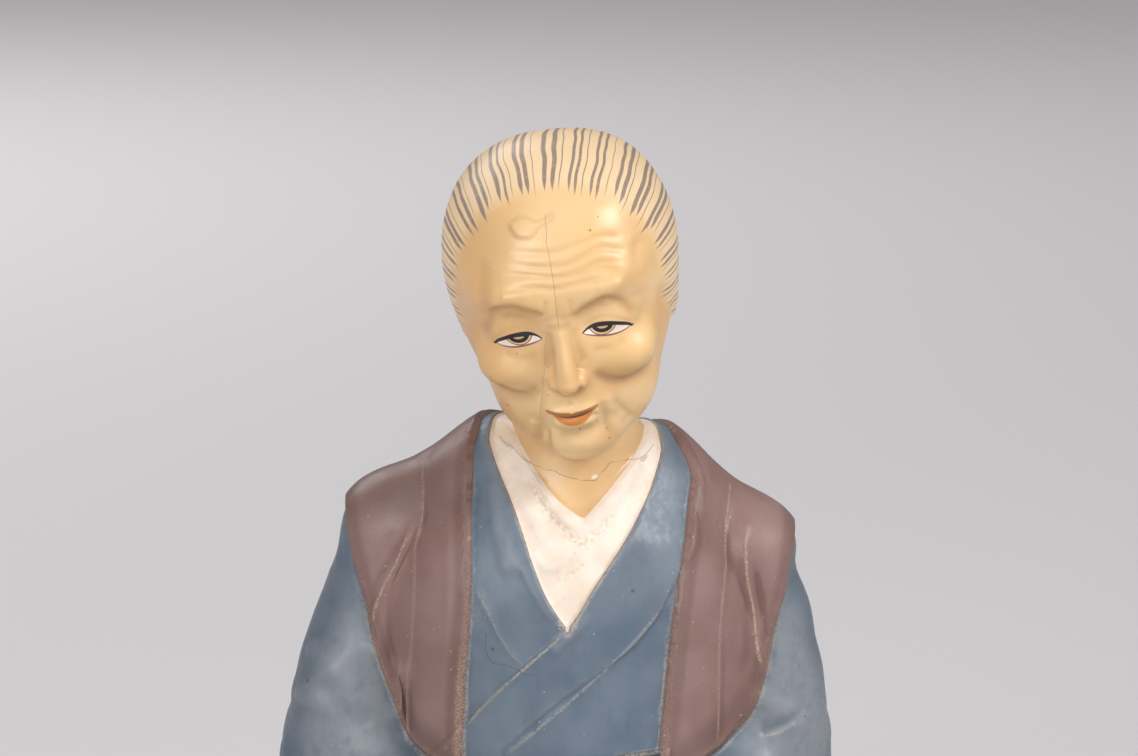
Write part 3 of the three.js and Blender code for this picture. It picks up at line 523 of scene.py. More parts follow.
# Lines modelled in the face, as (a, c) places, with their height and half width.
# Shade is how much warm brown painted shade lies along the line, in its hollow.
faceLines = [
    # forehead
    {"line": [(-10.1, 20.8), (0.7, 20), (7.2, 20.6), (11.8, 20.8), (17.2, 18.7)],
     "height": -0.3, "width": 0.65, "shade": 0.1},
    {"line": [(-11.6, 18.4), (1, 17.2), (6.8, 17.8), (11.5, 18.8), (18.4, 15.5)],
     "height": -0.38, "width": 0.7, "shade": 0.25},
    {"line": [(-12, 16.2), (-5, 16), (1.1, 15.1), (6.4, 15.2), (11.1, 16), (18, 13)],
     "height": -0.4, "width": 0.72, "shade": 0.3},
    {"line": [(-15, 12.9), (-5.3, 13.5), (0.8, 12.7), (8.6, 13.4), (14.5, 12.2)],
     "height": -0.38, "width": 0.72, "shade": 0.25},
    {"line": [(-12.8, 12), (-9.6, 12.6), (-6, 12)], "height": 0.3, "width": 1.1},
    {"line": [(9, 12), (13, 12.2), (15.6, 10.6)], "height": 0.35, "width": 1.3},
    # arches under the brow, and the frown between them
    {"line": [(-18.4, -1.2), (-17.3, 2.8), (-14.6, 7.8), (-10.5, 9.2), (-7.1, 7.8), (-4.4, 6.6), (-3.4, 5.6)],
     "height": -0.5, "width": 1.05, "shade": 0.85},
    {"line": [(2.4, 3.4), (4.5, 5.3), (7, 6.6), (10, 8.1), (12.2, 7.8), (14.4, 5.6), (16.5, 3), (18.4, 0.2)],
     "height": -0.5, "width": 1.1, "shade": 0.9},
    {"line": [(-2.3, 10.8), (-3, 7.4), (-3.4, 4)], "height": -0.2, "width": 0.6, "shade": 0.2},
    {"line": [(3.2, 10.6), (2.9, 7), (2.8, 4.6)], "height": -0.2, "width": 0.6, "shade": 0.2},
    {"line": [(-3.6, 5.2), (0, 5.4), (3, 4.5)], "height": -0.12, "width": 0.6, "shade": 0.15},
    {"line": [(-3.6, 3.4), (0, 3.2), (2.6, 3)], "height": -0.1, "width": 0.9, "shade": 0.45},
    # lids, and the bags under the eyes
    {"line": [(-16.6, -0.6), (-12.4, 2.4), (-8.6, 2.8), (-4.6, 0.8)], "height": -0.16, "width": 0.5},
    {"line": [(16.4, -0.6), (12.4, 2.4), (8.6, 2.8), (4.6, 0.8)], "height": -0.16, "width": 0.5},
    {"line": [(-14.5, -3.4), (-10.4, -4.7), (-6, -3.8)], "height": -0.18, "width": 1, "shade": 0.35},
    {"line": [(14.5, -3.4), (10.4, -4.9), (6, -4)], "height": -0.18, "width": 1, "shade": 0.35},
    # temples
    {"line": [(-16, 20), (-16.4, 14.4), (-16.6, 9), (-17.6, 4)], "height": -0.4, "width": 1.6, "shade": 0.3},
    {"line": [(19.5, 18), (19.2, 11.4), (18.1, 2.7)], "height": -0.4, "width": 1.6, "shade": 0.2},
    {"line": [(23.6, 5), (22.6, -3.9), (21.6, -13)], "height": -0.4, "width": 1.4, "shade": 0.2},
    # nose: its ridge, the hollows beside it, nostrils and the furrow below
    {"line": [(-0.1, 3), (0, -3), (-0.1, -10)], "height": 0.4, "width": 0.9},
    {"line": [(-3.2, 2.6), (-3.4, -3), (-4.6, -8.4)], "height": -0.4, "width": 1.1, "shade": 0.55},
    {"line": [(2.8, 2.4), (3, -3), (3.8, -8)], "height": -0.3, "width": 1.1, "shade": 0.3},
    {"line": [(-5.2, -12.6), (-3.4, -13.4), (-1, -15.2), (1.4, -14.6), (3.6, -12.8)],
     "height": -0.35, "width": 0.6, "shade": 0.7},
    {"line": [(1.8, -12.6), (3, -12.2)], "height": -0.3, "width": 0.7, "shade": 0.7},
    {"line": [(-1.2, -15.6), (-1, -17.8)], "height": -0.3, "width": 0.8, "shade": 0.4},
    # undersides of the cheeks, and the folds beside the mouth
    {"line": [(-17.8, -11), (-15.4, -15.2), (-12.9, -15.9), (-9.8, -15), (-6.6, -11.6)],
     "height": -0.5, "width": 1.6, "shade": 0.8},
    {"line": [(18.4, -14.2), (14.6, -15.4), (11, -14.6), (8, -12.9), (4.8, -9.8)],
     "height": -0.5, "width": 1.6, "shade": 1},
    {"line": [(-5.9, -9.6), (-6.8, -15), (-8, -20), (-9, -25)], "height": -0.28, "width": 0.8, "shade": 0.4},
    {"line": [(-7.9, -17), (-9, -21.5), (-9.6, -25)], "height": 0.22, "width": 0.5},
    {"line": [(6.3, -17.6), (6.3, -21.5), (6.6, -25.4), (8.6, -31.4)],
     "height": -0.5, "width": 0.9, "shade": 0.6},
    {"line": [(5.1, -18.4), (5.3, -22.5), (5.6, -25.8), (7.6, -31.4)], "height": 0.5, "width": 0.7},
    {"line": [(8.9, -18.6), (10.2, -23.5), (12.4, -28)], "height": -0.3, "width": 1, "shade": 0.35},
    {"line": [(7.6, -16.8), (8.6, -22), (11, -27.8)], "height": 0.3, "width": 0.8},
    {"line": [(-10.2, -22.8), (-10.9, -26), (-13.4, -29.4)], "height": 0.7, "width": 0.8},
    {"line": [(-9, -23.4), (-9.8, -27), (-11.8, -30.6)], "height": -0.6, "width": 0.8, "shade": 0.6},
    {"line": [(-6.8, -24.4), (-7.6, -28.4), (-6.8, -31.4)], "height": -0.6, "width": 0.8, "shade": 0.6},
    {"line": [(-5.8, -24.4), (-6.4, -28), (-5.6, -31)], "height": 0.6, "width": 0.8},
    # mouth and chin
    {"line": [(-6.6, -19.2), (-1.5, -20.7), (5.6, -18.8)], "height": -0.4, "width": 0.5},
    {"line": [(-5, -25), (-0.6, -25.7), (4.6, -24.4)], "height": -0.3, "width": 1.2, "shade": 0.6},
    {"line": [(-4, -28), (0.6, -28.6), (5, -27.4)], "height": 0.3, "width": 1.6},
]
crackLine = [(0, 26.4), (0, 24.8), (-0.3, 21.2), (0, 18.5), (0.1, 14.6), (0.1, 11.6), (-0.2, 6.3),
             (-0.3, 2.8)]
flakeLine = [(-8.8, 25.9), (-5.3, 24.9), (-1.8, 25.5), (1.6, 26.6)]
seamLine = [(-3.5, 1.7), (-4.5, -3.2), (-5.7, -9.4), (-7.5, -16.1), (-8.8, -22.9)]    # of the mould
for drawn in faceLines:
    drawn["line"] = curveThrough(drawn["line"])


def faceRelief(q):
    # Height of the carved lines, and the share of shade painted into them
    a, b, c = q
    height, shade = np.zeros(a.shape), np.zeros(a.shape)
    front = b < -8
    x, y = a[front], c[front]
    total, painted = np.zeros(x.shape), np.zeros(x.shape)
    for drawn in faceLines:
        d, share, _ = lineDistance(x, y, drawn["line"])
        ends = taper(share, 0.16)
        total += drawn["height"] * ends * ridge(d, drawn["width"])
        painted = np.maximum(painted, drawn.get("shade", 0) * ends * ridge(d, drawn["width"] * 1.15))
    d, share, _ = lineDistance(x, y, curveThrough(flakeLine))
    flakeHalf = 0.35 + 1.7 * smooth(share, 0, 0.25) * (1 - smooth(share, 0.4, 0.75))
    total += 0.5 * smooth(flakeHalf - d, 0, 0.9)
    # painted shade: a thin dark outline round the edge of the flake
    painted = np.maximum(painted, 0.4 * ridge(d - flakeHalf - 0.1, 0.35) * smooth(share, 0, 0.1))
    d, share, _ = lineDistance(x, y, np.array(crackLine))
    total -= 0.12 * ridge(d, 0.25) * smooth(1 - share, 0, 0.3)
    height[front], shade[front] = total, painted
    return height, shade


def relief(p):
    onTrunk = smooth(p[2], *dollSizes["stepFades"])
    height = np.zeros(p.shape[1])
    for garment in garments.values():
        strength = 1 if garment.get("onLap") else onTrunk
        height += strength * garment["step"] * np.clip(garment["area"](p) / dollSizes["edgeRun"], 0, 1)
    q = inHead(p)
    clearOfHead = skull(q) > 3
    for fold in folds:
        view = foldViews[fold["view"]]
        seen = clearOfHead & view["shows"](p)
        x, y = (p[axis][seen] for axis in view["flat"])
        d = lineDistance(x, y, np.array(fold["line"], float))[0]
        height[seen] += fold["height"] * ridge(d, fold["width"])
    for name, swells in sleeveSwells.items():
        outer = smooth(p[0] * sides[name], *sleeveOuter)
        for level, swell, width in swells:
            height += outer * swell * ridge(p[2] - level, width)
    seen = onFront(p) & clearOfHead
    for drawn in clothLines:
        d, share, _ = lineDistance(p[0][seen], p[2][seen], drawn["line"])
        height[seen] += drawn["height"] * taper(share, 0.14) * ridge(d, drawn["width"])
    head = q[:, ~clearOfHead]
    crown = smooth(head[2], *dollSizes["crownFrom"])
    height[~clearOfHead] += faceRelief(head)[0] - dollSizes["crownDrop"] * crown
    return height * smooth(p[2], *dollSizes["footFrom"])


# Meshing: the surface is found on a grid, drawn onto the form and refined where it is carved
meshing = {
    "shown": {"front": 4, "above": 72},     # the finer front of the body: y below, z above
    "hands": 3,                             # how near to the hands the mesh is finer
    "head": {"middle": (0, 0, 5), "reach": 42},
    "face": {"front": -14, "heights": (-32, 27), "halfWidth": 19},
    "longest": 1.4,                         # cut an edge that is this many times the wanted length
    "lineReach": 2.6,
}


def valueAndSlope(field, p, e=0.05):
    corners = np.array([(1, -1, -1), (-1, 1, -1), (-1, -1, 1), (1, 1, 1)], float)
    values = [field(p + e * column(k)) for k in corners]
    slope = sum(v * column(k) for v, k in zip(values, corners)) / (4 * e)
    return sum(values) / 4, slope


def settle(points, reach, steps=2):
    for _ in range(steps):
        value, slope = valueAndSlope(figure, points)
        steep = np.maximum((slope * slope).sum(0), 0.05)
        points = points - slope * np.clip(value / steep, -reach, reach)
    return points


def closeGaps(value):
    # Fills gaps narrower than the grid, so that the surface stays one closed skin
    fill = -1e-3
    changed = True
    while changed:
        changed = False
        for u, v in ((0, 1), (1, 2), (2, 0)):
            inside = value < 0
            stepU, stepV = np.eye(3, dtype=int)[u], np.eye(3, dtype=int)[v]
            a = inside[tuple(slice(0, n - s) for n, s in zip(value.shape, stepU + stepV))]
            b, c, d = (
                inside[tuple(slice(o, n - s + o) for n, s, o in zip(value.shape, stepU + stepV, off))]
                for off in (stepU, stepU + stepV, stepV))
            for place in np.argwhere((a == c) & (b == d) & (a != b)):
                ring = [tuple(place + off) for off in (0 * stepU, stepU, stepU + stepV, stepV)]
                outside = [r for r in ring if value[r] >= 0]
                if len(outside) == 2:
                    value[min(outside, key=lambda r: value[r])] = fill
                    changed = True
    return value


def surfaceOnGrid(low, high, cell):
    axes = [np.arange(a, b + cell, cell) for a, b in zip(low, high)]
    grid = np.stack(np.meshgrid(*axes, indexing="ij"))
    shape = grid.shape[1:]
    value = closeGaps(figure(grid.reshape(3, -1)).reshape(shape))
    cells = tuple(n - 1 for n in shape)
    total, number = np.zeros((3,) + cells), np.zeros(cells)
    crossings = []
    for axis in range(3):
        near = tuple(slice(0, n - 1) if k == axis else slice(None) for k, n in enumerate(shape))
        far = tuple(slice(1, n) if k == axis else slice(None) for k, n in enumerate(shape))
        a, b = value[near], value[far]
        crossing = (a < 0) != (b < 0)
        place = grid[(slice(None),) + near].copy()
        place[axis] += cell * a / np.where(crossing, a - b, 1)
        crossings.append((crossing, a < 0))
        u, v = (axis + 1) % 3, (axis + 2) % 3
        for du in (0, 1):
            for dv in (0, 1):
                offset = {u: du, v: dv, axis: 0}
                part = tuple(slice(offset[k], offset[k] + cells[k]) for k in range(3))
                number += crossing[part]
                total += np.where(crossing[part], place[(slice(None),) + part], 0)
    index = np.full(cells, -1)
    used = number > 0
    index[used] = np.arange(used.sum())
    points = total[:, used] / number[used]
    faces = []
    for axis, (crossing, here) in enumerate(crossings):
        u, v = (axis + 1) % 3, (axis + 2) % 3

        def inner(array, s, t):
            back = {u: s, v: t}
            return array[tuple(slice(None) if k == axis else slice(1 - back[k], shape[k] - 1 - back[k])
                               for k in range(3))]
        met = inner(crossing, 0, 0)
        ring = np.stack([inner(index, s, t)[met] for s, t in ((0, 0), (1, 0), (1, 1), (0, 1))], axis=1)
        outward = inner(here, 0, 0)[met]
        ring = np.where(outward[:, None], ring, ring[:, ::-1])
        a, b, c, d = ring.T
        short = length(points[:, a] - points[:, c]) < length(points[:, b] - points[:, d])
        first = np.where(short[:, None], np.stack([a, b, c], 1), np.stack([b, c, d], 1))
        second = np.where(short[:, None], np.stack([a, c, d], 1), np.stack([b, d, a], 1))
        faces += [first, second]
    return points, np.vstack(faces)


def cutEdges(points, faces, shareAt):
    # Cuts the edges that get a share, not nan, and splits the triangles to fit
    ends = np.sort(faces[:, [[0, 1], [1, 2], [2, 0]]], axis=2).reshape(-1, 2)
    keys, first, inverse = np.unique(
        ends[:, 0] * points.shape[1] + ends[:, 1], return_index=True, return_inverse=True)
    i, j = ends[first].T
    share = shareAt(i, j)
    cut = ~np.isnan(share)
    made = np.full(len(keys), -1)
    made[cut] = points.shape[1] + np.arange(cut.sum())
    points = np.hstack([points, lerp(points[:, i[cut]], points[:, j[cut]], share[cut])])
    on = made[inverse].reshape(-1, 3)
    number = (on >= 0).sum(1)

    def turned(pick, offset):
        order = (np.arange(3) + offset[:, None]) % 3
        corners = np.take_along_axis(faces[pick], order, 1).T
        return corners, np.take_along_axis(on[pick], order, 1).T
    result = [faces[number == 0]]
    pick = number == 3
    (a, b, c), (ab, bc, ca) = faces[pick].T, on[pick].T
    result += [np.stack(t, 1) for t in ((a, ab, ca), (ab, b, bc), (ca, bc, c), (ab, bc, ca))]
    pick = number == 1
    (a, b, c), (ab, bc, ca) = turned(pick, np.argmax(on[pick] >= 0, axis=1))
    result += [np.stack(t, 1) for t in ((a, ab, c), (ab, b, c))]
    pick = number == 2
    (a, b, c), (ab, bc, ca) = turned(pick, np.argmin(on[pick] >= 0, axis=1) + 1)
    short = length(points[:, a] - points[:, bc]) < length(points[:, ab] - points[:, c])
    result.append(np.stack([ab, b, bc], 1))
    result.append(np.where(short[:, None], np.stack([a, ab, bc], 1), np.stack([a, ab, c], 1)))
    result.append(np.where(short[:, None], np.stack([a, bc, c], 1), np.stack([ab, bc, c], 1)))
    return points, np.vstack(result)


def neighbourMean(values, faces):
    count = values.shape[-1]
    start, end = faces.ravel(), np.roll(faces, -1, axis=1).ravel()
    number = np.bincount(start, minlength=count)
    rows = np.atleast_2d(values)
    return np.stack([np.bincount(start, row[end], count) for row in rows]) / number


def evenOut(points, faces, reach):
    return settle(lerp(points, neighbourMean(points, faces), 0.6), reach)


def drawRim(points, faces, area, level, fixed, snap=0.22, reach=1e6):
    # Runs a line of edges along the rim of an area, and pulls vertices that lie close onto it.
    # Where the area changes by more than reach between neighbours, that isn't its rim.
    g = area(points) - level
    i = np.concatenate([faces.ravel(), np.roll(faces, -1, axis=1).ravel()])
    j = np.concatenate([np.roll(faces, -1, axis=1).ravel(), faces.ravel()])
    met = ((g[i] < 0) != (g[j] < 0)) & (np.abs(g[i] - g[j]) < reach)
    i, j = i[met], j[met]
    share = g[i] / (g[i] - g[j])
    close = (share < snap) & ~fixed[i]
    i, j, share = i[close], j[close], share[close]
    order = np.lexsort((share, i))
    i, j, share = i[order], j[order], share[order]
    i, firsts = np.unique(i, return_index=True)
    points = points.copy()
    points[:, i] = lerp(points[:, i], points[:, j[firsts]], share[firsts])
    g[i] = 0
    fixed[i] = True

    def shareAt(a, b):
        between = (g[a] * g[b] < 0) & (np.abs(g[a] - g[b]) < reach)
        return np.where(between, np.clip(g[a] / np.where(between, g[a] - g[b], 1), 0.02, 0.98), np.nan)
    points, faces = cutEdges(points, faces, shareAt)
    return points, faces, np.append(fixed, np.ones(points.shape[1] - len(fixed), bool))


def wantedEdge(p):
    q = inHead(p)
    a, b, c = q
    shown = (p[1] < meshing["shown"]["front"]) & (p[2] > meshing["shown"]["above"])
    edge = np.where(shown, dollSizes["frontEdge"], dollSizes["bodyEdge"])
    edge = np.where(hands(p) < meshing["hands"], dollSizes["handEdge"], edge)
    head = length(q - column(meshing["head"]["middle"])) < meshing["head"]["reach"]
    face = meshing["face"]
    low, high = face["heights"]
    inFace = (b < face["front"]) & (c < high) & (c > low) & (np.abs(a) < face["halfWidth"])
    return np.where(head, np.where(inFace, dollSizes["faceEdge"], dollSizes["headEdge"]), edge)


def refineEdges(points, faces):
    old = points.shape[1]

    def shareAt(i, j):
        wanted = wantedEdge((points[:, i] + points[:, j]) / 2)
        return np.where(length(points[:, i] - points[:, j]) > meshing["longest"] * wanted, 0.5, np.nan)
    points, faces = cutEdges(points, faces, shareAt)
    points = np.hstack([points[:, :old], settle(points[:, old:], 1, 2)])
    return points, faces


def figureSurface():
    points, faces = surfaceOnGrid(dollSizes["gridLow"], dollSizes["gridHigh"], dollSizes["gridCell"])
    for _ in range(2):
        points = evenOut(points, faces, 1.5)
    for _ in range(4):
        points, faces = refineEdges(points, faces)
        points = evenOut(points, faces, 0.8)
    print("figure surface:", faces.shape[0], "triangles")
    fixed = np.zeros(points.shape[1], bool)
    for garment in garments.values():
        for share in garment.get("rims", (0, 1)):
            level = share * dollSizes["edgeRun"]
            points, faces, fixed = drawRim(points, faces, garment["area"], level, fixed)
    for area in (handArea, footArea):
        points, faces, fixed = drawRim(points, faces, area, 0, fixed)
    for line in [drawn["line"] for drawn in clothLines if drawn.get("sharp")] + breaks:
        points, faces, fixed = drawRim(
            points, faces, lambda p: clothGap(p, line), 0, fixed, reach=meshing["lineReach"])
    return points, faces


def paintedMesh(name, points, faces, attributes, slots):
    mesh = bpy.data.meshes.new(name)
    mesh.vertices.add(points.shape[1])
    mesh.vertices.foreach_set("co", points.T.astype(np.float32).ravel())
    mesh.loops.add(faces.size)
    mesh.loops.foreach_set("vertex_index", faces.astype(np.int32).ravel())
    mesh.polygons.add(len(faces))
    mesh.polygons.foreach_set("loop_start", np.arange(0, faces.size, 3, dtype=np.int32))
    mesh.polygons.foreach_set("material_index", slots.astype(np.int32))
    mesh.update(calc_edges=True)
    for label, values in attributes.items():
        if values.ndim == 2:
            layer = mesh.attributes.new(label, "FLOAT_VECTOR", "POINT")
            layer.data.foreach_set("vector", values.T.astype(np.float32).ravel())
        else:
            layer = mesh.attributes.new(label, "FLOAT", "POINT")
            layer.data.foreach_set("value", values.astype(np.float32))
    mesh.validate()
    mesh.shade_smooth()
    piece = bpy.data.objects.new(name, mesh)
    bpy.context.scene.collection.objects.link(piece)
    return piece


paints = ["skin", "kimono", "vest", "underCollar", "sash", "tabi"]


def makeDoll():
    base, faces = figureSurface()
    slope = valueAndSlope(figure, base)[1]
    outward = slope / np.maximum(length(slope), 0.2)
    raised = relief(base)
    carved = base + outward * raised
    areas = {name: garment["area"](base) for name, garment in garments.items()}
    hand, foot = handArea(base), footArea(base)
    q = inHead(base)

    smoothed = carved
    for _ in range(dollSizes["smoothings"]):
        smoothed = neighbourMean(smoothed, faces)
    hollow = ((smoothed - carved) * outward).sum(0)

    def mean(values):
        return values[faces].mean(1)
    low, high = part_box("doll")
    unit = (high.z - low.z) / (carved[2].max() - carved[2].min())
    middle = (carved[1].max() + carved[1].min()) / 2
    place = column((0, -middle * unit, low.z - carved[2].min() * unit))
    slots = np.full(len(faces), paints.index("kimono"))
    slots[mean(areas["collar"]) < dollSizes["edgeRun"] / 2] = paints.index("underCollar")
    slots[mean(areas["underCollar"]) < 0] = paints.index("skin")
    slots[mean(areas["sash"]) > 0] = paints.index("sash")
    slots[mean(areas["vest"]) > 0] = paints.index("vest")
    below = mean(base[2]) < dollSizes["lapBelow"]
    slots[(mean(hand) > 0) & below] = paints.index("skin")
    slots[(mean(foot) > 0) & below] = paints.index("tabi")

    def offsetFrom(line):
        c, a = np.array(sorted((c, a) for a, c in line)).T
        return q[0] - np.interp(q[2], c, a)
    gap, dust, groove = np.full(base.shape[1], 9.0), np.zeros(base.shape[1]), np.zeros(base.shape[1])
    for drawn in clothLines:
        d, share, _ = lineDistance(base[0], base[2], drawn["line"])
        ends = taper(share, 0.1)
        if "dust" in drawn:
            dust = np.where(d < gap, drawn["dust"] * ends, dust)
            gap = np.minimum(d, gap)
        groove = np.maximum(groove, drawn.get("groove", 0) * ends * ridge(d, 1.1))
    behind = np.where(onFront(base), 0, 9)      # keeps the front's lines off the back
    attributes = {
        "headPlace": q,
        "hollow": hollow,
        "shade": faceRelief(q)[1],
        "crackOffset": offsetFrom(crackLine),
        "seamOffset": offsetFrom(seamLine),
        "dustGap": gap + behind,
        "dustShare": dust,
        "groove": groove,
        "breakGap": np.minimum(*(lineDistance(base[0], base[2], line)[0] for line in breaks)) + behind,
    }
    attributes.update({name + "Edge": areas[name] for name in ("collar", "sash", "vest")})
    piece = paintedMesh("doll_figure", carved * unit + place, faces, attributes, slots)
    print("doll:", len(faces), "triangles")
    return piece, unit, place[:, 0]


dollPiece, dollUnit, dollPlace = makeDoll()


def drawnToRow(point):
    return Vector(np.array(point) * dollUnit + dollPlace)


# Materials. A wire is a number or colour that changes over the surface, so that a pattern is a formula
class Wire:
    def __init__(self, tree, socket):
        self.tree, self.socket = tree, socket

    def __add__(self, other):
        return formula(self.tree, "ADD", self, other)

    def __sub__(self, other):
        return formula(self.tree, "SUBTRACT", self, other)

    def __rsub__(self, other):
        return formula(self.tree, "SUBTRACT", other, self)

    def __mul__(self, other):
        return formula(self.tree, "MULTIPLY", self, other)

    def __truediv__(self, other):
        return formula(self.tree, "DIVIDE", self, other)

    def __abs__(self):
        return formula(self.tree, "ABSOLUTE", self)

    __radd__ = __add__
    __rmul__ = __mul__


def plug(tree, value, socket):
    if isinstance(value, Wire):
        tree.links.new(value.socket, socket)
    elif isinstance(value, tuple) and len(value) == 3 and socket.type == "RGBA":
        socket.default_value = value + (1,)
    else:
        socket.default_value = value


def formula(tree, operation, *values):
    node = tree.nodes.new("ShaderNodeMath")
    node.operation = operation
    for value, socket in zip(values, node.inputs):
        plug(tree, value, socket)
    return Wire(tree, node.outputs[0])


def least(a, b):
    return formula(a.tree, "MINIMUM", a, b)


def most(a, b):
    return formula(a.tree, "MAXIMUM", a, b)


def fade(x, low, high, toLow=0.0, toHigh=1.0):
    # Smooth change from toLow, where x is low, to toHigh, where x is high
    node = x.tree.nodes.new("ShaderNodeMapRange")
    node.interpolation_type = "SMOOTHSTEP"
    for value, socket in zip((x, low, high, toLow, toHigh), node.inputs):
        plug(x.tree, value, socket)
    return Wire(x.tree, node.outputs[0])


def mixed(factor, a, b):
    tree = factor.tree
    node = tree.nodes.new("ShaderNodeMix")
    node.data_type = "RGBA"
    for value, socket in zip((factor, a, b), (node.inputs[0], node.inputs[6], node.inputs[7])):
        plug(tree, value, socket)
    return Wire(tree, node.outputs[2])


def clouds(place, size, detail=2.0, offset=(0, 0, 0), stretch=(1, 1, 1)):
    # Noise from 0 to 1 with features of about this size
    tree = place.tree
    mapping = tree.nodes.new("ShaderNodeMapping")
    mapping.inputs["Location"].default_value = offset
    mapping.inputs["Scale"].default_value = [1 / (size * s) for s in stretch]
    plug(tree, place, mapping.inputs["Vector"])
    node = tree.nodes.new("ShaderNodeTexNoise")
    node.inputs["Scale"].default_value = 1
    node.inputs["Detail"].default_value = detail
    tree.links.new(mapping.outputs[0], node.inputs["Vector"])
    return Wire(tree, node.outputs[0])


def attribute(tree, name, output="Fac"):
    node = tree.nodes.new("ShaderNodeAttribute")
    node.attribute_name = name
    return Wire(tree, node.outputs[output])


def axesOf(vector):
    node = vector.tree.nodes.new("ShaderNodeSeparateXYZ")
    plug(vector.tree, vector, node.inputs[0])
    return [Wire(vector.tree, output) for output in node.outputs]


def objectPlace(tree):
    # Object coordinates in millimetres
    coordinates = tree.nodes.new("ShaderNodeTexCoord")
    scaled = tree.nodes.new("ShaderNodeVectorMath")
    scaled.operation = "SCALE"
    scaled.inputs["Scale"].default_value = 1 / mm
    tree.links.new(coordinates.outputs["Object"], scaled.inputs[0])
    return Wire(tree, scaled.outputs[0])


def newGroup(name, inputs, outputs):
    group = bpy.data.node_groups.new(name, "ShaderNodeTree")
    for label, kind in inputs.items():
        group.interface.new_socket(label, in_out="INPUT", socket_type="NodeSocket" + kind)
    for label, kind in outputs.items():
        group.interface.new_socket(label, in_out="OUTPUT", socket_type="NodeSocket" + kind)
    entry = group.nodes.new("NodeGroupInput")
    return group, {label: Wire(group, entry.outputs[label]) for label in inputs}


def closeGroup(group, results):
    leave = group.nodes.new("NodeGroupOutput")
    for label, value in results.items():
        plug(group, value, leave.inputs[label])
    return group


def useGroup(tree, group, **values):
    node = tree.nodes.new("ShaderNodeGroup")
    node.node_tree = group
    for label, value in values.items():
        plug(tree, value, node.inputs[label])
    outputs = {output.name: Wire(tree, output) for output in node.outputs}
    return outputs if len(outputs) > 1 else next(iter(outputs.values()))


def makeSpecks():
    # Small scattered spots of dust or dirt, of which Share is kept
    group, given = newGroup(
        "specks", {"Place": "Vector", "Size": "Float", "Share": "Float"}, {"Mask": "Float"})
    cells = group.nodes.new("ShaderNodeTexVoronoi")
    cells.inputs["Scale"].default_value = 1
    scaled = group.nodes.new("ShaderNodeVectorMath")
    scaled.operation = "SCALE"
    plug(group, given["Place"], scaled.inputs[0])
    plug(group, formula(group, "DIVIDE", 0.3, given["Size"]), scaled.inputs["Scale"])
    group.links.new(scaled.outputs[0], cells.inputs["Vector"])
    kept = axesOf(Wire(group, cells.outputs["Color"]))[0]
    radius = fade(kept, 0, given["Share"], 0.24, 0.06)
    spot = fade(Wire(group, cells.outputs["Distance"]) - radius, 0, -0.05)
    inShare = fade(kept - given["Share"], 0.01, -0.01)
    return closeGroup(group, {"Mask": spot * inShare})


def makeEdgeWear():
    # Paint worn through, or dust caught, along a modelled edge that is Edge away
    group, given = newGroup(
        "edge wear", {"Edge": "Float", "Width": "Float", "Place": "Vector"}, {"Mask": "Float"})
    broad = clouds(given["Place"], 9, 2, (3, 1, 7))
    fine = clouds(given["Place"], 0.7, 3, (1, 5, 2))
    reach = given["Width"] * fade(broad, 0.3, 0.7, 0.15, 1.25)
    near = fade(abs(given["Edge"]) / reach, 1, 0)
    return closeGroup(group, {"Mask": near * fade(fine, 0.32, 0.6)})


def makeDustLine():
    # Dust and worn paint on a fine modelled line that is Gap away, Share of it at its strongest
    group, given = newGroup(
        "dusty line", {"Gap": "Float", "Share": "Float", "Place": "Vector"}, {"Mask": "Float"})
    broken = fade(clouds(given["Place"], 0.6, 3, (2, 2, 2)), 0.32, 0.6)
    reach = 0.15 + 0.7 * clouds(given["Place"], 3, 2, (6, 1, 4))
    return closeGroup(group, {"Mask": fade(given["Gap"] / reach, 1, 0.35) * given["Share"] * broken})


def makeGrain():
    # The brushed paint over fired clay, as a height in millimetres
    group, given = newGroup("painted clay", {"Place": "Vector"}, {"Height": "Float"})
    brush = clouds(given["Place"], 1.6, 3, (2, 8, 4), (1, 1, 3))
    tooth = clouds(given["Place"], 0.35, 2)
    waves = clouds(given["Place"], 7, 1, (9, 9, 1))
    return closeGroup(group, {"Height": brush * 0.05 + tooth * 0.018 + waves * 0.14})


specks, edgeWear, dustLine, grain = makeSpecks(), makeEdgeWear(), makeDustLine(), makeGrain()


def dustyLines(tree, place):
    gap, share = attribute(tree, "dustGap"), attribute(tree, "dustShare")
    return useGroup(tree, dustLine, Gap=gap, Share=share, Place=place)


def speckled(tree, place, size, share, strength, colour, speckColour):
    mask = useGroup(tree, specks, Place=place, Size=size, Share=share)
    return mixed(mask * strength, colour, speckColour)


def rowPlace(x, z):
    # A drawn place on the front, as object coordinates in millimetres
    row = drawnToRow((x, 0, z)) / mm
    return row.x, row.z


def chip(place, x, z, wide, high, turn, rough):
    # A flake broken off the front at the drawn place x, z, half as wide and high as given
    across, depth, up = axesOf(place)
    atX, atZ = rowPlace(x, z)
    right, rise = across - atX, up - atZ
    u = (right * cos(turn) + rise * sin(turn)) / wide
    v = (rise * cos(turn) - right * sin(turn)) / high
    ragged = rough * (clouds(place, 0.8, 2, (x, 0, z)) - 0.5) * 2
    far = formula(place.tree, "SQRT", u * u + v * v) + ragged
    return fade(far, 1.06, 0.94) * fade(depth, 0, -2)


def newPaint(name, coat=0.0, coatRoughness=0.2, specular=0.5):
    paint = bpy.data.materials.new(name)
    paint.use_nodes = True
    tree = paint.node_tree
    shader = tree.nodes["Principled BSDF"]
    shader.inputs["Specular IOR Level"].default_value = specular
    shader.inputs["Coat Weight"].default_value = coat
    shader.inputs["Coat Roughness"].default_value = coatRoughness
    return paint, tree, shader, objectPlace(tree)


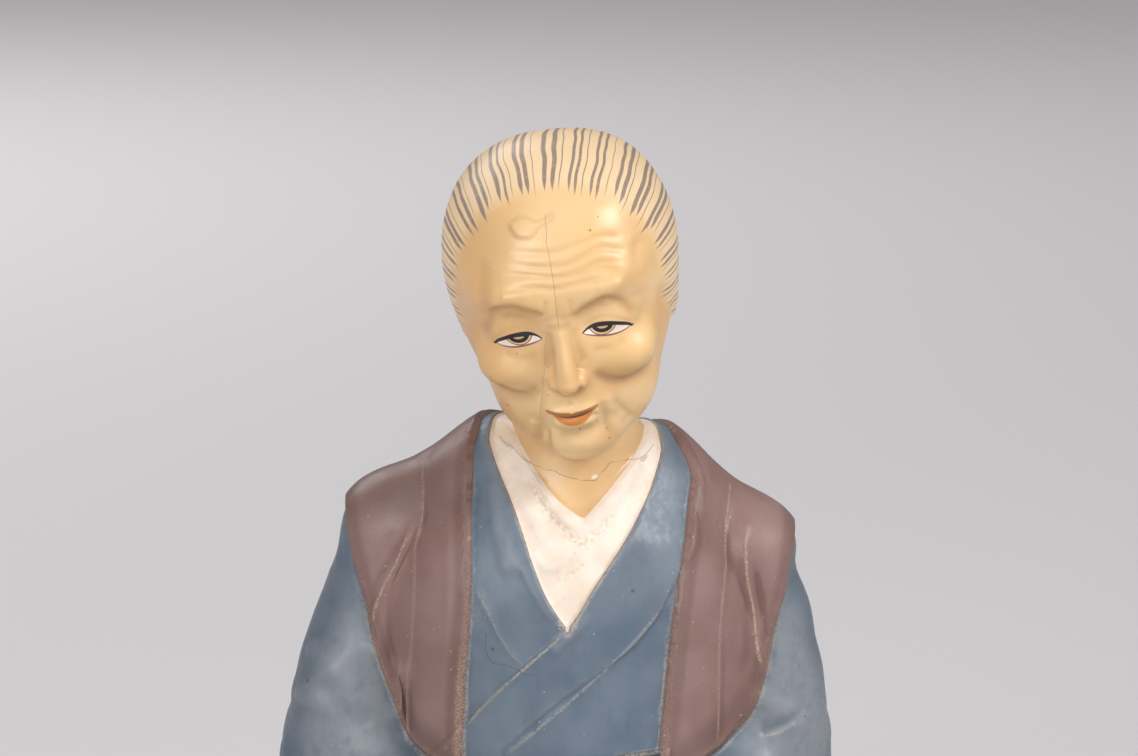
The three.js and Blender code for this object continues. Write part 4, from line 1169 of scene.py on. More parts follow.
def finishPaint(tree, shader, place, colour, roughness):
    plug(tree, colour, shader.inputs["Base Color"])
    plug(tree, roughness, shader.inputs["Roughness"])
    bump = tree.nodes.new("ShaderNodeBump")
    bump.inputs["Distance"].default_value = mm
    plug(tree, useGroup(tree, grain, Place=place), bump.inputs["Height"])
    tree.links.new(bump.outputs["Normal"], shader.inputs["Normal"])


# Hair is painted on as brush strokes, two broad and one fine, that run back to the knot
hairPaint = {
    "groups": 38,
    "poleHeight": -4.2,
    "poleSlope": 0.22,
    "strokes": [(0.12, 0.52, 1), (0.41, 0.48, 2), (0.7, 0.13, 3)],  # place in the group, half width, seed
    "colour": (0.265, 0.195, 0.165),
}


def makeHair():
    group, given = newGroup("hair strokes", {"HeadPlace": "Vector"}, {"Mask": "Float", "Behind": "Float"})
    a, b, c = axesOf(given["HeadPlace"])
    up = c + b * hairPaint["poleSlope"] - hairPaint["poleHeight"]
    ring = formula(group, "SQRT", a * a + up * up)
    upward = up / most(ring, 0.1)
    hairline = fade(upward, 1, 0.1, -16.3, -14.8) + fade(upward, 0.08, -0.9, 0, 28)
    sway = clouds(given["HeadPlace"], 15, 1, (4, 2, 1)) - 0.5
    angle = formula(group, "ARCTAN2", a, up) / (2 * pi / hairPaint["groups"]) + 0.4 * sway
    number = formula(group, "FLOOR", angle)
    share = angle - number
    mask = None
    for at, half, seed in hairPaint["strokes"]:
        random = group.nodes.new("ShaderNodeTexWhiteNoise")
        random.noise_dimensions = "1D"
        plug(group, number * 5 + seed, random.inputs["W"])
        first, second, third = axesOf(Wire(group, random.outputs["Color"]))
        far = abs(share - (at - 0.035 + 0.07 * first)) * ring * (2 * pi / hairPaint["groups"])
        behind = b - hairline - (second * 3.2 - 1.6)
        width = half * fade(behind, 0, 4) * fade(third, 0, 1, 0.7, 1.1)
        width = width * fade(ring, 2, 20, 0.25, 1) * fade(upward, 0.1, 0.8, 0.6, 1)
        stroke = fade(far - width, 0.1, -0.1) * fade(behind, 0.2, 1.2)
        mask = stroke if mask is None else most(mask, stroke)
    return closeGroup(group, {"Mask": mask, "Behind": b - hairline})


# The painted eyes, as seen from the front: side is measured from the middle of each eye,
# towards its outer corner
eyePaint = {
    "middle": (10.3, -0.65),
    "halfWidth": 5.5,
    "tilt": 0.1,
    "upperRise": 1.95,
    "lowerDrop": 1.3,
    "iris": (9.7, 1.6),
    "glance": 0.3,          # both irises a little towards her right
    "irisRadius": 3.25,
    "lashHalf": 0.26,       # half its thickness at the inner corner
    "lashGain": 0.3,        # what it gains further out
    "soft": 0.07,
    "white": (0.93, 0.80, 0.70),
    "lash": (0.018, 0.014, 0.013),
    "rim": (0.28, 0.095, 0.065),
    "irisBrown": (0.19, 0.08, 0.035),
    "ring": (0.78, 0.56, 0.32),
    "glint": (0.68, 0.48, 0.24),
    "halo": (0.72, 0.36, 0.15),
}


def makeEyes():
    group, given = newGroup(
        "painted eyes", {"HeadPlace": "Vector"}, {"Mask": "Float", "Colour": "Color", "Halo": "Float"})
    a, b, c = axesOf(given["HeadPlace"])
    side = abs(a)
    u = (side - eyePaint["middle"][0]) / eyePaint["halfWidth"]
    v = c - eyePaint["middle"][1] + eyePaint["tilt"] * (side - eyePaint["middle"][0])
    within = most(1 - u * u, 0)
    upper = eyePaint["upperRise"] * formula(group, "POWER", within, 0.8)
    lower = -1 * eyePaint["lowerDrop"] * formula(group, "POWER", within, 0.85)
    soft = eyePaint["soft"]
    opening = fade(v - upper, soft, -soft) * fade(v - lower, -soft, soft) * fade(abs(u), 1, 0.985)
    irisSide = side - eyePaint["iris"][0] + fade(a, -1, 1, -eyePaint["glance"], eyePaint["glance"])
    irisUp = c - eyePaint["iris"][1]
    fromIris = formula(group, "SQRT", irisSide * irisSide + irisUp * irisUp)
    radius = eyePaint["irisRadius"]
    colour = mixed(fade(fromIris, radius + soft, radius - soft), eyePaint["white"], eyePaint["irisBrown"])
    colour = mixed(fade(fromIris, radius - 0.2, radius - 0.3), colour, eyePaint["ring"])
    colour = mixed(fade(fromIris, radius - 0.6, radius - 0.7), colour, eyePaint["lash"])
    glint = irisSide / 1.25
    glintLow = -1.5 + 0.45 * glint * glint
    inGlint = fade(irisUp - glintLow, -soft, soft) * fade(irisUp, -0.82, -0.94) * fade(abs(glint), 1, 0.9)
    colour = mixed(inGlint, colour, eyePaint["glint"])
    beyond = (side - eyePaint["middle"][0]) / (eyePaint["halfWidth"] * 1.16)
    lashHalf = eyePaint["lashHalf"] + fade(u, -1, -0.3, 0, eyePaint["lashGain"])
    fromLash = abs(v - upper + fade(u, 0.8, 1.2, 0, 0.35) - 0.1)
    lash = fade(fromLash - lashHalf * fade(beyond, 1.0, 0.8), 0.06, -0.06) * fade(beyond, 1.02, 0.98)
    lash = lash * fade(u, -1.06, -1.0)
    rim = fade(abs(v - lower) - (0.11 + 0.14 * within), 0.06, -0.06) * fade(abs(u), 1, 0.96)
    colour = mixed(rim, colour, eyePaint["rim"])
    colour = mixed(lash, colour, eyePaint["lash"])
    front = fade(b, -12, -16)
    halo = formula(group, "SQRT", (u * 0.78) * (u * 0.78) + (v - 0.7) * (v - 0.7) / 16)
    return closeGroup(group, {
        "Mask": most(most(opening, lash), rim) * front,
        "Colour": colour,
        "Halo": fade(halo, 1.15, 0.5) * front,
    })


# The painted lips: a is measured from the middle of the mouth
lipPaint = {
    "middle": -0.55,
    "halfWidth": 6.3,
    "cornerHeight": -18.7,
    "sag": 1.75,
    "upperDepth": 1.45,
    "lowerDepth": 2.15,
    "soft": 0.12,
    "upper": (0.38, 0.14, 0.03),
    "lower": (0.60, 0.19, 0.02),
    "line": (0.06, 0.022, 0.014),
}


def makeLips():
    group, given = newGroup("painted lips", {"HeadPlace": "Vector"}, {"Mask": "Float", "Colour": "Color"})
    a, b, c = axesOf(given["HeadPlace"])
    u = (a - lipPaint["middle"]) / lipPaint["halfWidth"]
    within = most(1 - u * u, 0)
    line = lipPaint["cornerHeight"] - lipPaint["sag"] * within
    notch = fade(abs(u), 0.16, 0, 0, 0.3)
    top = line + lipPaint["upperDepth"] * formula(group, "POWER", within, 0.5) - notch + 0.06
    narrow = most(1 - (u / 0.76) * (u / 0.76), 0)
    bottom = line - lipPaint["lowerDepth"] * formula(group, "POWER", narrow, 0.65)
    soft = lipPaint["soft"]
    upper = fade(c - top, soft, -soft) * fade(c - line, -soft, soft) * fade(abs(u), 1, 0.98)
    lower = fade(c - line, soft, -soft) * fade(c - bottom, -0.22, 0.22) * fade(abs(u), 0.77, 0.74)
    dark = fade(abs(c - line) - 0.22 * fade(abs(u), 0.95, 0.4), 0.07, -0.07) * fade(abs(u), 0.9, 0.8)
    colour = mixed(lower, lipPaint["upper"], lipPaint["lower"])
    front = fade(b, -12, -16)
    return closeGroup(group, {
        "Mask": least(upper + lower + dark, 1) * front,
        "Colour": mixed(dark, colour, lipPaint["line"]),
    })


skinPaint = {
    "pale": (0.82, 0.56, 0.275),
    "warm": (0.74, 0.46, 0.20),
    # temple and hollow are colours of painted shade: her shaded temple side, and hollows, creases and the
    # neck under the chin
    "temple": (0.68, 0.37, 0.155),
    "hollow": (0.50, 0.27, 0.11),
    "scalp": (0.85, 0.64, 0.40),
    "crack": (0.2, 0.095, 0.04),
    "dirt": (0.08, 0.055, 0.035),
    "chip": (0.82, 0.78, 0.72),
    "chipPlace": (6.1, 147.7, 0.95, 0.42, 0.3, 0.8),
    # single specks of dirt on the face: place and radius
    "specks": [(-16, -20.1, 0.3), (-7.9, -14.3, 0.22), (0.4, -24.4, 0.42), (6.5, -28.9, 0.35),
               (6.4, -26.3, 0.25), (11.9, 24.5, 0.25), (9.8, 22.6, 0.35), (-15.7, 9.6, 0.2)],
    # varnish, and what is left of it on the cheeks, on the wrinkles over her left eye and on the scalp
    "gloss": 0.55,
    "cheekGloss": 0.12,
    "wrinkleGloss": 0.22,
    "scalpGloss": 0.2,
}


def makeSkin():
    paint, tree, shader, place = newPaint("skin", coatRoughness=0.29, specular=0.4)
    headPlace = attribute(tree, "headPlace", "Vector")
    a, b, c = axesOf(headPlace)
    colour = mixed(fade(clouds(place, 17, 2), 0.35, 0.65), skinPaint["pale"], skinPaint["warm"])
    # painted shade: her right side of the face, towards the temple, darker and more orange
    colour = mixed(fade(a, -8, -25) * 0.75, colour, skinPaint["temple"])
    # painted shade: from the brow up, the skin a little darker and warmer
    colour = mixed(fade(c, 8, 14) * 0.4, colour, skinPaint["warm"])
    hair = useGroup(tree, makeHair(), HeadPlace=headPlace)
    onHead = fade(c, -26, -20)
    colour = mixed(fade(hair["Behind"], -1, 5) * onHead * 0.8, colour, skinPaint["scalp"])
    # painted shade: warm brown in the hollows and along the carved creases, deepest under the brows and
    # cheeks
    shade = most(fade(attribute(tree, "hollow"), 0.05, 0.35) * 0.3, attribute(tree, "shade") * 0.75)
    colour = mixed(shade, colour, skinPaint["hollow"])
    # painted shade: the neck darker under the chin, on her left side
    colour = mixed(fade(c, -34, -40) * fade(a, -8, 0) * 0.3, colour, skinPaint["hollow"])
    eyes = useGroup(tree, makeEyes(), HeadPlace=headPlace)
    colour = mixed(eyes["Halo"] * 0.1, colour, eyePaint["halo"])
    colour = mixed(eyes["Mask"], colour, eyes["Colour"])
    lips = useGroup(tree, makeLips(), HeadPlace=headPlace)
    colour = mixed(lips["Mask"] * 0.95, colour, lips["Colour"])
    strokes = hair["Mask"] * onHead * fade(clouds(place, 0.8, 3), 0.25, 0.5, 0.72, 0.95)
    colour = mixed(strokes, colour, hairPaint["colour"])
    onFace = fade(b, -8, -12)
    crack = fade(abs(attribute(tree, "crackOffset")), 0.11, 0.03) * fade(c, 2.2, 4) * fade(c, 27.5, 26.5)
    seam = fade(abs(attribute(tree, "seamOffset")), 0.16, 0.05) * fade(c, -23, -20) * fade(c, 2, 0)
    neckCrack = fade(attribute(tree, "breakGap"), 0.15, 0.05) * fade(clouds(place, 2.5, 2), 0.4, 0.5, 0.35, 1)
    cracks = most(most(crack * onFace * 0.6, seam * onFace * 0.22), neckCrack * 0.65)
    colour = mixed(cracks, colour, skinPaint["crack"])
    colour = mixed(chip(place, *skinPaint["chipPlace"]) * 0.8, colour, skinPaint["chip"])
    colour = speckled(tree, place, 0.3, 0.02, 0.5, colour, skinPaint["dirt"])

    def away(x, z, side=a):
        return formula(tree, "SQRT", (side - x) * (side - x) + (c - z) * (c - z))

    for x, z, radius in skinPaint["specks"]:
        colour = mixed(fade(away(x, z) / radius, 1.0, 0.3) * onFace * 0.75, colour, skinPaint["dirt"])
    full = skinPaint["gloss"]
    gloss = fade(away(15, -5, abs(a)), 12, 6, full, skinPaint["cheekGloss"])
    gloss = least(gloss, fade(away(12, 16), 8, 4, full, skinPaint["wrinkleGloss"]))
    gloss = least(gloss, fade(hair["Behind"], -1, 4, full, skinPaint["scalpGloss"]))
    plug(tree, gloss, shader.inputs["Coat Weight"])
    roughness = fade(clouds(place, 6, 2, (1, 1, 1)), 0.3, 0.7, 0.4, 0.55)
    finishPaint(tree, shader, place, colour, roughness)
    return paint


kimonoPaint = {
    "blue": (0.098, 0.135, 0.180),
    "pale": (0.135, 0.176, 0.220),
    # dark serves both the darker streaks and the painted shade; sheen is the colour of painted sheen, also
    # laid with the dust on her left collar
    "dark": (0.065, 0.10, 0.137),
    "sleeve": (0.215, 0.235, 0.26),
    "dust": (0.44, 0.37, 0.30),
    "sheen": (0.27, 0.275, 0.305),
    "crack": (0.05, 0.045, 0.045),
    "lightSpeck": (0.5, 0.5, 0.49),
    "darkSpeck": (0.05, 0.06, 0.07),
    "tipChip": (-0.6, 114.8, 2.6, 1.6, 0.0, 0.8),
}


def makeKimono():
    paint, tree, shader, place = newPaint("kimono")
    x, y, z = axesOf(place)
    colour = mixed(fade(clouds(place, 14, 3), 0.35, 0.65), kimonoPaint["blue"], kimonoPaint["pale"])
    sleeve = fade(clouds(place, 2.5, 4, (1, 5, 3)), 0.3, 0.6, 0.7, 1)
    colour = mixed(sleeve * fade(abs(x), 36, 46) * fade(z, 142, 122), colour, kimonoPaint["sleeve"])
    streaks = fade(clouds(place, 3, 4, (5, 5, 5), (1, 1, 2.5)), 0.55, 0.8)
    colour = mixed(streaks * 0.4, colour, kimonoPaint["dark"])
    # painted shade: the outer sides of the sleeves darker towards the outline
    outer = abs(x) - fade(z, 142, 96, 57, 68)
    shaded = fade(outer, -7, -1) * fade(y, -18, 4) * fade(y, 40, 15)
    colour = mixed(shaded * 0.85, colour, kimonoPaint["dark"])
    # dust and painted sheen: her left collar paler towards its top
    dusty = fade(x, 0, 12) * fade(z, 128, 148) * fade(clouds(place, 2, 4, (2, 7, 3)), 0.3, 0.6, 0.6, 1)
    colour = mixed(dusty * 0.2, colour, kimonoPaint["sheen"])
    # painted shade in the hollows of the cloth, and painted sheen on its raised folds
    hollow = attribute(tree, "hollow")
    colour = mixed(fade(hollow, 0.08, 0.45) * 0.4, colour, kimonoPaint["dark"])
    colour = mixed(fade(hollow, -0.06, -0.35) * 0.25, colour, kimonoPaint["sheen"])
    collar = attribute(tree, "collarEdge")
    strip = fade(collar, 1.7, 1.0) * fade(x, -3, 1) * fade(z, 150, 144)
    strip = strip * fade(clouds(place, 1.1, 4, (3, 9, 5)), 0.3, 0.55)
    wear = useGroup(tree, edgeWear, Edge=collar - 0.6, Width=0.8, Place=place)
    low = useGroup(tree, edgeWear, Edge=attribute(tree, "vestEdge") + 0.4, Width=0.9, Place=place)
    tip = chip(place, *kimonoPaint["tipChip"]) * fade(clouds(place, 0.5, 3, (2, 2, 8)), 0.35, 0.55) * 0.8
    worn = most(wear * 0.6, low * fade(z, 152, 115) * 0.6)
    worn = most(worn, most(most(dustyLines(tree, place), tip), strip * 0.75))
    colour = mixed(worn * 0.85, colour, kimonoPaint["dust"])
    crack = fade(attribute(tree, "breakGap"), 0.16, 0.06) * fade(clouds(place, 2, 2), 0.35, 0.55, 0.3, 1)
    colour = mixed(crack * 0.55, colour, kimonoPaint["crack"])
    colour = speckled(tree, place, 0.35, 0.05, 0.35, colour, kimonoPaint["lightSpeck"])
    colour = speckled(tree, place, 0.9, 0.02, 0.6, colour, kimonoPaint["darkSpeck"])
    roughness = fade(clouds(place, 1.6, 3), 0.3, 0.7, 0.38, 0.5)
    finishPaint(tree, shader, place, colour, roughness)
    return paint


vestPaint = {
    "brown": (0.238, 0.141, 0.124),
    "mauve": (0.278, 0.176, 0.160),
    # dark is the colour of the painted shade on the vest
    "dark": (0.105, 0.055, 0.045),
    "dust": (0.46, 0.33, 0.235),
    "faded": (0.36, 0.26, 0.23),
    "speck": (0.5, 0.38, 0.3),
    "scuffPlace": (-38, 149.5, 2.6, 1.7, 0.3, 0.5),
}


def makeVest():
    paint, tree, shader, place = newPaint("vest", specular=0.32)
    x, _, z = axesOf(place)
    broad, fine = clouds(place, 16, 2, (3, 3, 3)), clouds(place, 0.5, 2, (1, 4, 2))
    colour = mixed(fade(broad, 0.35, 0.65), vestPaint["brown"], vestPaint["mauve"])
    colour = mixed(fade(fine, 0.5, 0.75) * 0.12, colour, vestPaint["faded"])
    # painted shade: the top of her right shoulder darker
    colour = mixed(fade(x, -20, -34) * fade(z, 148, 158) * 0.4, colour, vestPaint["dark"])
    # painted shade in the hollows of the cloth
    hollow = attribute(tree, "hollow")
    colour = mixed(fade(hollow, 0.05, 0.4) * 0.6, colour, vestPaint["dark"])
    edge = attribute(tree, "vestEdge")
    inner = fade(abs(x), 40, 32)
    # painted shade: a darker band along the vest's edges
    colour = mixed(fade(edge, 4.2, 2.4) * 0.4, colour, vestPaint["dark"])
    broken = fade(clouds(place, 0.35, 3, (8, 3, 2)), 0.38, 0.62)
    strip = fade(edge / fade(z, 165, 100, 0.7, 1.9), 1.1, 0.4) * inner * fade(z, 172, 105, 0.15, 0.65)
    strip = strip * broken * fade(x, -10, 10, 1, 0.5)
    hem = fade(edge, 1.1, 0.3) * (1 - inner) * fade(z, 150, 120, 0.05, 0.5) * broken
    raised = fade(hollow, -0.12, -0.4) * broken * 0.12
    worn = most(most(strip, hem), most(dustyLines(tree, place), raised))
    colour = mixed(worn * 0.85, colour, vestPaint["dust"])
    scuff = chip(place, *vestPaint["scuffPlace"]) * fade(clouds(place, 0.5, 2, (4, 4, 1)), 0.4, 0.6)
    colour = mixed(scuff * 0.6, colour, vestPaint["faded"])
    colour = speckled(tree, place, 0.4, 0.1, 0.4, colour, vestPaint["speck"])
    roughness = fade(clouds(place, 4, 2), 0.3, 0.7, 0.34, 0.46)
    finishPaint(tree, shader, place, colour, roughness)
    return paint


whitePaint = {
    "white": (0.87, 0.755, 0.65),
    "cream": (0.80, 0.67, 0.55),
    "plate": (0.72, 0.58, 0.39),
    "dirt": (0.6, 0.42, 0.24),
    "crack": (0.26, 0.15, 0.08),
    "clay": (0.58, 0.48, 0.4),
    "platePlace": (-15.6, 156.4, 3.4, 2.0, -0.5, 0.2),
    "chipPlaces": [(-14.3, 154.0, 1.3, 0.5, -0.25, 0.8), (17.8, 151.2, 0.9, 0.6, 0.4, 0.8)],
}


def makeUnderCollar():
    paint, tree, shader, place = newPaint("underCollar", specular=0.4)
    z = axesOf(place)[2]
    colour = mixed(fade(clouds(place, 8, 3), 0.38, 0.62), whitePaint["white"], whitePaint["cream"])
    patchy = fade(clouds(place, 0.9, 4, (3, 3, 3)), 0.4, 0.62)
    colour = mixed(chip(place, *whitePaint["platePlace"]) * 0.75, colour, whitePaint["plate"])
    dirt = most(fade(attribute(tree, "hollow"), 0.08, 0.35) * 0.25, attribute(tree, "groove"))
    colour = mixed(dirt * patchy * 0.75, colour, whitePaint["dirt"])
    pit = fade(z, 134, 128) * fade(clouds(place, 1.0, 3, (5, 5, 1)), 0.56, 0.64) * 0.6
    colour = mixed(pit, colour, whitePaint["dirt"])
    crack = fade(attribute(tree, "breakGap"), 0.16, 0.05)
    colour = mixed(crack * 0.6, colour, whitePaint["crack"])
    chips = most(*(chip(place, *spot) for spot in whitePaint["chipPlaces"]))
    colour = mixed(chips * 0.85, colour, whitePaint["clay"])
    colour = speckled(tree, place, 0.4, 0.04, 0.5, colour, whitePaint["dirt"])
    finishPaint(tree, shader, place, colour, fade(clouds(place, 4, 2), 0.3, 0.7, 0.42, 0.58))
    return paint


sashPaint = {
    "black": (0.035, 0.036, 0.042),
    "grey": (0.06, 0.055, 0.06),
    "worn": (0.3, 0.25, 0.2),
    "speck": (0.3, 0.28, 0.26),
}


def makeSash():
    paint, tree, shader, place = newPaint("sash", specular=0.45)
    weave = fade(clouds(place, 2.4, 3, (2, 1, 1), (4, 1, 1)), 0.35, 0.65)
    colour = mixed(weave, sashPaint["black"], sashPaint["grey"])
    wear = useGroup(tree, edgeWear, Edge=attribute(tree, "sashEdge") - 0.6, Width=1.2, Place=place)
    colour = mixed(wear * 0.6, colour, sashPaint["worn"])
    colour = speckled(tree, place, 0.4, 0.1, 0.5, colour, sashPaint["speck"])
    finishPaint(tree, shader, place, colour, fade(clouds(place, 4, 2), 0.3, 0.7, 0.4, 0.52))
    return paint


tabiPaint = {
    "white": (0.78, 0.72, 0.65),
    "cream": (0.66, 0.58, 0.49),
}


def makeTabi():
    paint, tree, shader, place = newPaint("tabi", specular=0.4)
    colour = mixed(fade(clouds(place, 5, 4), 0.38, 0.62), tabiPaint["white"], tabiPaint["cream"])
    # the feet darker in their hollows
    dirt = fade(attribute(tree, "hollow"), 0.03, 0.3)
    colour = mixed(dirt * 0.6, colour, whitePaint["dirt"])
    finishPaint(tree, shader, place, colour, fade(clouds(place, 4, 2), 0.3, 0.7, 0.45, 0.6))
    return paint


makers = {
    "skin": makeSkin, "kimono": makeKimono, "vest": makeVest,
    "underCollar": makeUnderCollar, "sash": makeSash, "tabi": makeTabi,
}
for paintName in paints:
    dollPiece.data.materials.append(makers[paintName]())
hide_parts("doll")
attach(dollPiece, "root")
print("doll painted")

# The plinth: a moulding swept round a rounded rectangle, with its top and underside filled
plinthLow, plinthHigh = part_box("plinth")
plinthSizes = {
    "Width": plinthHigh.x - plinthLow.x,
    "Depth": plinthHigh.y - plinthLow.y,
    "Height": plinthHigh.z - plinthLow.z,
    "Corner": 0.008,
    "Rim": 0.006,           # how far in from the side the top's fill begins
    "Foot inset": 0.0035,
    "Foot height": 0.003,
    "Bevel inset": 0.0035,
    "Bevel height": 0.003,
    "Rounding": 0.0009,
}
lacquer = {
    "black": (0.013, 0.010, 0.009),
    "brown": (0.024, 0.017, 0.014),
    "worn": (0.10, 0.045, 0.025),
    "dust": (0.3, 0.27, 0.24),
    "rimHeight": 13,
    "footHeight": 3,
}


def lacquerPaint():
    paint, tree, shader, place = newPaint("black_lacquer", coat=0.6, coatRoughness=0.12)
    z = axesOf(place)[2]
    streaks = fade(clouds(place, 30, 2, (1, 1, 1), (4, 1, 1)), 0.35, 0.65)
    colour = mixed(streaks, lacquer["black"], lacquer["brown"])
    rim = useGroup(tree, edgeWear, Edge=z - lacquer["rimHeight"], Width=1.0, Place=place)
    foot = useGroup(tree, edgeWear, Edge=z - lacquer["footHeight"], Width=1.0, Place=place)
    colour = mixed(most(rim, foot) * 0.55, colour, lacquer["worn"])
    colour = speckled(tree, place, 0.5, 0.08, 0.35, colour, lacquer["dust"])
    dust = fade(clouds(place, 9, 4, (6, 2, 1)), 0.45, 0.75) * 0.1
    colour = mixed(dust, colour, lacquer["dust"])
    finishPaint(tree, shader, place, colour, fade(clouds(place, 7, 3), 0.3, 0.7, 0.2, 0.36))
    return paint


def makePlinthTree(paint):
    tree = bpy.data.node_groups.new("lacquered plinth", "GeometryNodeTree")
    for label in plinthSizes:
        tree.interface.new_socket(label, in_out="INPUT", socket_type="NodeSocketFloat")
    tree.interface.new_socket("Geometry", in_out="OUTPUT", socket_type="NodeSocketGeometry")
    entry = tree.nodes.new("NodeGroupInput")
    given = {label: Wire(tree, entry.outputs[label]) for label in plinthSizes}

    def node(kind, inputs=(), **settings):
        made = tree.nodes.new(kind)
        for key, value in settings.items():
            setattr(made, key, value)
        for label, value in dict(inputs).items():
            plug(tree, value, made.inputs[label])
        return Wire(tree, made.outputs[0])

    def vector(x, y, z):
        return node("ShaderNodeCombineXYZ", {"X": x, "Y": y, "Z": z})

    path = node("GeometryNodeCurvePrimitiveQuadrilateral", {
        "Width": given["Width"] - 2 * given["Rim"],
        "Height": given["Depth"] - 2 * given["Rim"],
    })
    path = node("GeometryNodeFilletCurve", {
        "Curve": path, "Count": 10, "Radius": given["Corner"] - given["Rim"]}, mode="POLY")

    # Profile: distance out from the rim, and height
    footTop, top = given["Foot height"], given["Height"]
    corners = [
        (0.0, 0.0),
        (given["Rim"] - given["Foot inset"], 0.0),
        (given["Rim"] - given["Foot inset"], footTop),
        (given["Rim"], footTop),
        (given["Rim"], top - given["Bevel height"]),
        (given["Rim"] - given["Bevel inset"], top),
        (0.0, top),
    ]
    place = tree.nodes.new("GeometryNodeIndexSwitch")
    place.data_type = "VECTOR"
    while len(place.index_switch_items) < len(corners):
        place.index_switch_items.new()
    tree.links.new(tree.nodes.new("GeometryNodeInputIndex").outputs[0], place.inputs["Index"])
    for n, (out, up) in enumerate(corners):
        plug(tree, vector(out, -1 * up if isinstance(up, Wire) else 0.0, 0.0), place.inputs[n + 1])
    profile = node("GeometryNodeMeshLine", {"Count": len(corners)})
    profile = node("GeometryNodeSetPosition", {"Geometry": profile, "Position": Wire(tree, place.outputs[0])})
    profile = node("GeometryNodeMeshToCurve", {"Mesh": profile})
    profile = node("GeometryNodeFilletCurve", {
        "Curve": profile, "Count": 4, "Radius": given["Rounding"], "Limit Radius": True}, mode="POLY")
    profile = node("GeometryNodeReverseCurve", {"Curve": profile})

    joined = tree.nodes.new("GeometryNodeJoinGeometry")
    side = node("GeometryNodeCurveToMesh", {"Curve": path, "Profile Curve": profile})
    tree.links.new(side.socket, joined.inputs[0])
    for level, turned in ((0.0, True), (top, False)):
        filled = node("GeometryNodeFillCurve", {"Curve": path}, mode="NGONS")
        if turned:
            filled = node("GeometryNodeFlipFaces", {"Mesh": filled})
        lifted = node("GeometryNodeTransform", {"Geometry": filled, "Translation": vector(0.0, 0.0, level)})
        tree.links.new(lifted.socket, joined.inputs[0])
    whole = node("GeometryNodeMergeByDistance", {
        "Geometry": Wire(tree, joined.outputs[0]), "Distance": 0.00002})
    area = node("GeometryNodeInputMeshFaceArea")
    small = formula(tree, "LESS_THAN", area, 0.0001)    # flat faces are large, rounded ones are narrow
    whole = node("GeometryNodeSetShadeSmooth", {"Geometry": whole, "Shade Smooth": small})
    whole = node("GeometryNodeRealizeInstances", {"Geometry": whole})
    whole = node("GeometryNodeSetMaterial", {"Geometry": whole, "Material": paint})
    tree.links.new(whole.socket, tree.nodes.new("NodeGroupOutput").inputs[0])
    return tree


def makePlinth():
    tree = makePlinthTree(lacquerPaint())
    carrier = bpy.data.objects.new("plinth_carrier", bpy.data.meshes.new("plinth_carrier"))
    bpy.context.scene.collection.objects.link(carrier)
    modifier = carrier.modifiers.new("plinth", "NODES")
    modifier.node_group = tree
    for item in tree.interface.items_tree:
        if item.in_out == "INPUT":
            modifier[item.identifier] = plinthSizes[item.name]
    graph = bpy.context.evaluated_depsgraph_get()
    mesh = bpy.data.meshes.new_from_object(carrier.evaluated_get(graph))
    carrier.modifiers.remove(modifier)
    bpy.data.objects.remove(carrier)
    piece = bpy.data.objects.new("plinth_moulded", mesh)
    bpy.context.scene.collection.objects.link(piece)
    return piece


plinthPiece = makePlinth()
print("plinth:", len(plinthPiece.data.polygons), "faces", [round(v, 4) for v in plinthPiece.dimensions])
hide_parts("plinth")
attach(plinthPiece, "root")

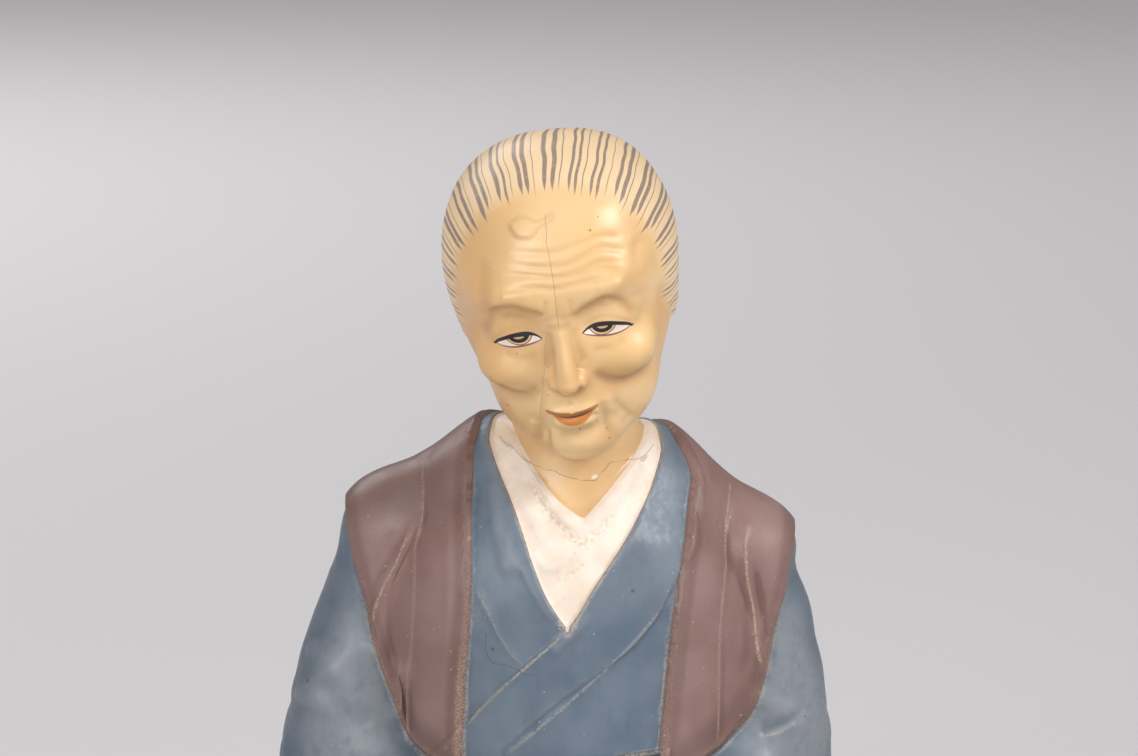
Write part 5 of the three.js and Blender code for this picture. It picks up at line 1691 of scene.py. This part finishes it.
# A pale floor, soft light, and the camera where the photographer stood, slightly above her
studio = {
    "floorSize": 40.0,
    "floor": (0.68, 0.655, 0.67),
    "sky": (0.99, 0.98, 1.0),
    "skyStrength": 0.22,
    "sun": {"from": (-0.15, -0.8, 1.0), "strength": 0.8, "angle": 50},
    "lights": [
        {"name": "key", "at": (0.85, -0.55, 0.86), "aim": (0, 0, 0.18), "size": 0.36, "watts": 9.2},
        {"name": "fill", "at": (-0.75, -1.3, 0.6), "aim": (0, 0, 0.18), "size": 0.6, "watts": 8.9},
        {"name": "backdrop", "at": (-1.5, 2.1, 1.95), "aim": (-1.0, 2.3, 0), "size": 2.0, "watts": 43.0},
    ],
}
view = {
    "imageSize": (1138, 756),
    "sensorWidth": 36,
    "focalPixels": 3830,
    "downward": 9,
    "distance": 0.9,
    "middle": (0, -20, 171.6),      # drawn place at the middle of the picture
}


def makeStudio():
    bpy.ops.mesh.primitive_plane_add(size=studio["floorSize"])
    floor = bpy.context.object
    floor.name = "floor"
    paint = bpy.data.materials.new("floor")
    paint.use_nodes = True
    shader = paint.node_tree.nodes["Principled BSDF"]
    shader.inputs["Base Color"].default_value = studio["floor"] + (1,)
    shader.inputs["Roughness"].default_value = 0.9
    floor.data.materials.append(paint)
    sun = bpy.data.lights.new("sun", "SUN")
    sun.energy, sun.angle = studio["sun"]["strength"], radians(studio["sun"]["angle"])
    lamp = bpy.data.objects.new("sun", sun)
    lamp.rotation_euler = Vector(studio["sun"]["from"]).to_track_quat("Z", "Y").to_euler()
    bpy.context.scene.collection.objects.link(lamp)
    for spec in studio["lights"]:
        light = bpy.data.lights.new(spec["name"], "AREA")
        light.size, light.energy = spec["size"], spec["watts"]
        lamp = bpy.data.objects.new(spec["name"], light)
        lamp.location = spec["at"]
        lamp.rotation_euler = (Vector(spec["aim"]) - lamp.location).to_track_quat("-Z", "Y").to_euler()
        bpy.context.scene.collection.objects.link(lamp)
    world = bpy.data.worlds.new("studio")
    world.use_nodes = True
    background = world.node_tree.nodes["Background"]
    background.inputs["Color"].default_value = studio["sky"] + (1,)
    background.inputs["Strength"].default_value = studio["skyStrength"]
    bpy.context.scene.world = world
    bpy.context.scene.view_settings.view_transform = "Standard"


def makeCamera():
    aim = Vector((0, cos(radians(view["downward"])), -sin(radians(view["downward"]))))
    lens = bpy.data.cameras.new("camera")
    lens.sensor_width = view["sensorWidth"]
    lens.lens = view["sensorWidth"] * view["focalPixels"] / view["imageSize"][0]
    lens.clip_end = 60
    camera = bpy.data.objects.new("camera", lens)
    camera.location = drawnToRow(view["middle"]) - aim * view["distance"]
    camera.rotation_euler = aim.to_track_quat("-Z", "Y").to_euler()
    bpy.context.scene.collection.objects.link(camera)
    bpy.context.scene.camera = camera


makeStudio()
makeCamera()
print("studio ready")
